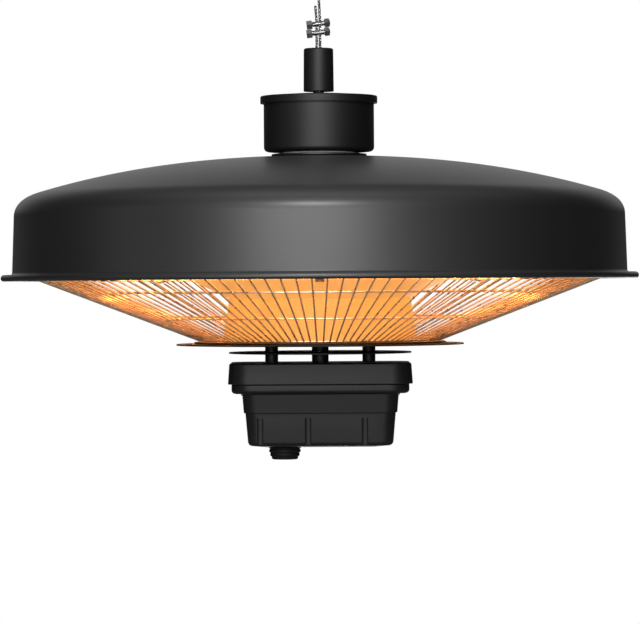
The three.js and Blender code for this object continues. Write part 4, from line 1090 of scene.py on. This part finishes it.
floor_in = side_inset(tub_bottom) + floor_border
below_step = step_height - step_slope
tub_shape = profile(
    (floor_in, tub_bottom + box_wall), (side_inset(tub_bottom) + box_wall, floor_edge + box_wall, 2),
    (side_inset(step_height) + box_wall + step_in, flange_top, 0.3), (flange_in, flange_top, 0.4),
    (flange_in, flange_bottom, 2.5), (tub_in, flange_bottom, 0.8),
    (side_inset(step_height), step_height, 0.25), (side_inset(below_step), below_step, 0.25),
    (side_inset(floor_edge), floor_edge, 3), (floor_in, tub_bottom, floor_bend), (floor_in + 8, tub_bottom),
    steps=6)
tub_skin = boxed(box_width, box_depth, box_corner, tub_shape, corner_share, least_corner=3)
tub = piece("box_lower_half", tub_skin, "heater", box_plastic, ["box_tub"])
print(f"a tub {flange_top - tub_bottom:.0f} mm deep")

# %% [markdown]
# Three shallow grooves run down the front and the back of the tub. Its floor has round holes for the button
# and the receiver, and four round pockets in the flange take the screws' heads. All are cut out, because a
# stack of outlines can't have holes in its sides.

# %% Grooves, holes and pockets
button_x, button_way = -24, 11.1
receiver_x, receiver_way = 22, 5.3
pocket_radius, pocket_depth = 3.2, 2.1
groove_width, groove_depth = 4.2, 0.9
groove_shares = (-0.82, -0.17, 0.6)  # of half the tub's width
groove_gap = 3.3  # from the step down to the grooves
overrun = 1
groove_top = step_height - groove_gap
groove_height = (tub_bottom + groove_top) / 2
groove_half = (groove_top - tub_bottom + overrun) / 2


def leaning_groove(face):
    """Half an ellipse, x = width / 2 * cos(a) and depth * sin(a) into the wall, carried down the leaning
    side. It runs out of the wall and out of the floor, so that the cut is open."""
    angle = np.linspace(0, np.pi, 17)
    x = np.concatenate([[groove_width / 2], groove_width / 2 * np.cos(angle), [-groove_width / 2]])
    into = np.concatenate([[-overrun], groove_depth * np.sin(angle), [-overrun]])
    height = np.array([[-groove_half], [groove_half]])
    y = face * (lean * height - into)
    return grid_part(np.stack(np.broadcast_arrays(x, y, height), -1), ends=True)


def drill(radius, bottom, top):
    """A plain rod to cut a round hole with."""
    return turned(np.array([(0, bottom), (radius, bottom), (radius, top), (0, top)]), 64)


floor_low, floor_high = tub_bottom - 4, tub_bottom + 4
cutters = [
    moved(drill(radius, floor_low, floor_high), x)
    for x, radius in ((button_x, button_way), (receiver_x, receiver_way))
]
for i in (1, 2, 3, 4):
    low, high = span(f"tub_screw_{i}")
    pocket = drill(pocket_radius, flange_bottom - overrun, flange_bottom + pocket_depth)
    cutters.append(moved(pocket, *(low + high)[:2] / 2))
groove_in = side_inset(groove_height)
for groove_share in groove_shares:
    for face in (-1, 1):
        x = groove_share * (box_width / 2 - groove_in)
        y = face * (box_depth / 2 - groove_in)
        cutters.append(moved(leaning_groove(face), x, y, groove_height - overrun / 2))
for cutter in cutters:
    cut_out(tub, moved(cutter, z=rim))
print(f"{len(cutters)} cuts in the tub")

# %% [markdown]
# The push button is rubber with three ridges for a wet finger, and its brim is held behind the floor. Each
# ridge has a flat top and a slope back in, and the button narrows with the square of the way down.

# %% Button
floor_inside = tub_bottom + box_wall
button_top = span("power_button")[1][2]
ridges, ridge_depth = 3, 0.9
button_wide, button_narrow, plunger_radius = 10.8, 8.6, 2
button_drop = 8.9
button_face = tub_bottom - button_drop
brim_radius, brim_foot, brim_top = 12.4, floor_inside + 0.3, floor_inside + 1.5
ridge_pitch = button_drop / (ridges + 0.5)
ridge_share = np.arange(ridges) / ridges
ridge_radius = button_wide - (button_wide - button_narrow) * ridge_share**2
ridge_corners = [
    corner
    for radius, height in zip(ridge_radius, tub_bottom - ridge_share * ridges * ridge_pitch)
    for corner in ((radius, height, 0.35), (radius, height - ridge_pitch / 2, 0.35),
                   (radius - ridge_depth, height - 0.75 * ridge_pitch, 0.2))
]
button_line = profile(
    (0, button_top), (plunger_radius, button_top, 0.2), (plunger_radius, brim_top), (brim_radius, brim_top),
    (brim_radius, brim_foot), (button_wide, brim_foot), *ridge_corners, (button_narrow, button_face, 1),
    (6, button_face + 0.1, 3), (0, button_face + 0.5), steps=5)
piece("ribbed_button", moved(turned(button_line, 96), button_x), "button", soft_rubber,
      ["power_button"], sharp=60)
print(f"a button with {ridges} ridges, {button_drop} mm tall")

# %% [markdown]
# The infrared receiver is a dark window in the tub's floor. Four screws sunk in the flange hold the halves
# together, and their cross slots are cut out.

# %% Receiver and screws
eye_radius, eye_brim, eye_back = 5, 6.5, floor_inside + 9
window_line = profile(
    (0, eye_back), (eye_radius / 2, eye_back), (eye_radius, floor_inside + 2.3),
    (eye_brim, floor_inside + 2.3), (eye_brim, brim_foot), (eye_radius, brim_foot),
    (eye_radius, tub_bottom + 0.2, 0.5), (2.6, tub_bottom - 0.15, 2), (0, tub_bottom - 0.2))
piece("receiver_eye", moved(turned(window_line, 64), receiver_x), "heater", receiver_window,
      ["infrared_receiver"])

head_radius, shank_radius, head_height = 2.9, 1.5, 1.8
slot_long, slot_wide = 2.6, 0.6
for i in (1, 2, 3, 4):
    low, high = span(f"tub_screw_{i}")
    x, y = (low + high)[:2] / 2
    foot, tip = low[2], high[2]
    head = profile((0, foot), (1.9, foot + 0.1, 1), (head_radius, foot + 1.2, 0.8),
                   (head_radius, foot + head_height, 0.15), (shank_radius, foot + head_height),
                   (shank_radius, tip - 1), (0, tip))
    screw = piece(f"pan_screw_{i}", moved(turned(head, 40), x, y), "heater", canister_coat,
                  [f"tub_screw_{i}"])
    for width, depth in ((slot_long, slot_wide), (slot_wide, slot_long)):
        cut_out(screw, moved(block(width, depth, -1, 1, 0.1, 0.05), x, y, foot + rim))
print("a receiver and four screws")

# %% [markdown]
# What is inside the box, on the stem and in the side spacers is hardly seen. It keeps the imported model's
# shape and only gets a finish.

# %% Hidden parts
zinc_nodes = ["stem_head_nut", "stem_canister_nut", "stem_dome_nut", "stem_box_nut", "side_screw_left",
              "side_screw_right"]
hidden = dict.fromkeys(zinc_nodes, zinc) | {
    "terminal_block": white_ceramic, "gland_lock_nut": gland_plastic, "box_seal": soft_rubber,
    "circuit_board": board_green, "power_relay": relay_blue, "power_switch": gland_plastic,
}
for name, material in hidden.items():
    nodes[name].data.materials.clear()
    nodes[name].data.materials.append(material)
print(f"finishes for {len(hidden)} hidden parts")

# %% [markdown]
# ## The studio
# The background is plain white. Glass sees that white too. A mirror sees a softer backdrop behind the
# heater, a little light overhead and an almost dark room elsewhere, which is what keeps black paint black
# in a studio. Light Path tells these rays apart.


# %% World
def ray_kinds(network):
    """Two masks: 1 for rays from the camera or through glass, and 1 for rays from a mirror."""
    path = network.node("LightPath").socket.node.outputs
    camera_ray, mirror_ray, glass_ray = [
        Output(network, path[name]) for name in ("Is Camera Ray", "Is Glossy Ray", "Is Transmission Ray")]
    return camera_ray.maths("MAXIMUM", camera_ray, glass_ray), mirror_ray


def smooth_rise(network, value, start, end):
    """0 up to the start and 1 from the end on, with a smooth S between."""
    return network.node("MapRange", {"interpolation_type": "SMOOTHSTEP"}, value, start, end, 0.0, 1.0)


ambient = 0.2
room_level, backdrop_level, overhead_level = 0.006, 0.5, 0.2
world = bpy.data.worlds.new("studio")
scene.world = world
sky = Network(world)
_, toward_back, up = sky.parts(sky.node("TexCoord", output="Generated"))
looked_at, mirrored = ray_kinds(sky)
band = smooth_rise(sky, up, 0.0, 0.18) * (1 - smooth_rise(sky, up, 0.4, 0.75))
backdrop = smooth_rise(sky, toward_back, 0.68, 1.0) * band
overhead = smooth_rise(sky, up, 0.6, 0.95)
room = room_level + backdrop * backdrop_level + overhead * overhead_level
strength = looked_at + mirrored * room + (1 - looked_at) * (1 - mirrored) * ambient
background = world.node_tree.nodes["Background"]
background.inputs["Color"].default_value = (1, 1, 1, 1)
world.node_tree.links.new(strength.socket, background.inputs["Strength"])
world.cycles.sampling_method = "NONE"
print("a world of white, with a backdrop for mirrors")

# %% [markdown]
# The floor far below is white too. A small share of it is lit by the lamps, so that a shadow can show on it,
# and from below it is clear, so that the camera can look up through it.

# %% Floor
floor_height = -2.4
floor_half = 10
floor_white, floor_in_mirrors = 1.17, 0.1
shadow_share = 0.15  # how much of the floor that the camera sees is lit by the lamps, and so can be shaded
floor_mesh = bpy.data.meshes.new("floor")
corners = [(x * floor_half, y * floor_half, floor_height) for x, y in ((-1, -1), (1, -1), (1, 1), (-1, 1))]
floor_mesh.from_pydata(corners, [], [(0, 1, 2, 3)])
floor = bpy.data.objects.new("floor", floor_mesh)
scene.collection.objects.link(floor)
pale = Paint("pale_floor", {"Roughness": 0.9, "Base Color": (0.8, 0.8, 0.8, 1)})
looked_at, mirrored = ray_kinds(pale)
shine = pale.node("Emission", None, (1, 1, 1, 1), looked_at * floor_white + mirrored * floor_in_mirrors)
white_share = looked_at * (1 - shadow_share) + mirrored
lit = pale.node("MixShader", None, white_share, Output(pale, pale.shader.outputs[0]), shine)
from_below = pale.node("NewGeometry", output="Backfacing")
both = pale.node("MixShader", None, from_below, lit, pale.node("BsdfTransparent"))
pale.tree.links.new(both.socket, pale.tree.nodes["Material Output"].inputs["Surface"])
floor_mesh.materials.append(pale.material)
floor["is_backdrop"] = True
print(f"a floor {-floor_height} m below the ceiling")

# %% [markdown]
# A wide soft lamp stands at the heater's own height behind the camera, and its reflection is the broad
# upright highlight of the wall and the canister. A small one hangs above it for the bright line on the
# dome's shoulder. Three weak ones, overhead, behind and on the left, round off the other sides.

# %% Lamps
heater_middle = (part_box("dome_shell")[0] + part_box("dome_shell")[1]) / 2


def lamp(name, place, size, power):
    """A soft rectangular lamp that faces the middle of the dome."""
    light = bpy.data.lights.new(name, "AREA")
    light.shape, light.size, light.size_y, light.energy = "RECTANGLE", size[0], size[1], power
    made = bpy.data.objects.new(name, light)
    scene.collection.objects.link(made)
    made.location = place
    made.rotation_euler = (made.location - heater_middle).to_track_quat("Z", "Y").to_euler()


lamp("front_softbox", (-0.22, -2.7, -0.25), (2.1, 0.6), 27)
lamp("high_softbox", (-0.08, -2.2, 1.0), (0.6, 0.25), 25)
lamp("top_softbox", (-0.1, -0.3, 2.1), (1.6, 1.2), 4)
lamp("back_softbox", (0.3, 2.5, -1.0), (1.2, 0.6), 8)
lamp("left_fill", (-2.1, -0.7, 0.1), (0.8, 1.2), 1)
scene.view_settings.view_transform = "Standard"
print("white studio with five soft lamps")

# %% [markdown]
# ## Sizes
# The dressed model must be as large as the imported one.

# %% Sizes
low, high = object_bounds()
boxes = {"cad": [list(cad_low), list(cad_high)], "visual": [list(low), list(high)]}
print({name: [round((b - a) / mm, 1) for a, b in zip(*box)] for name, box in boxes.items()})
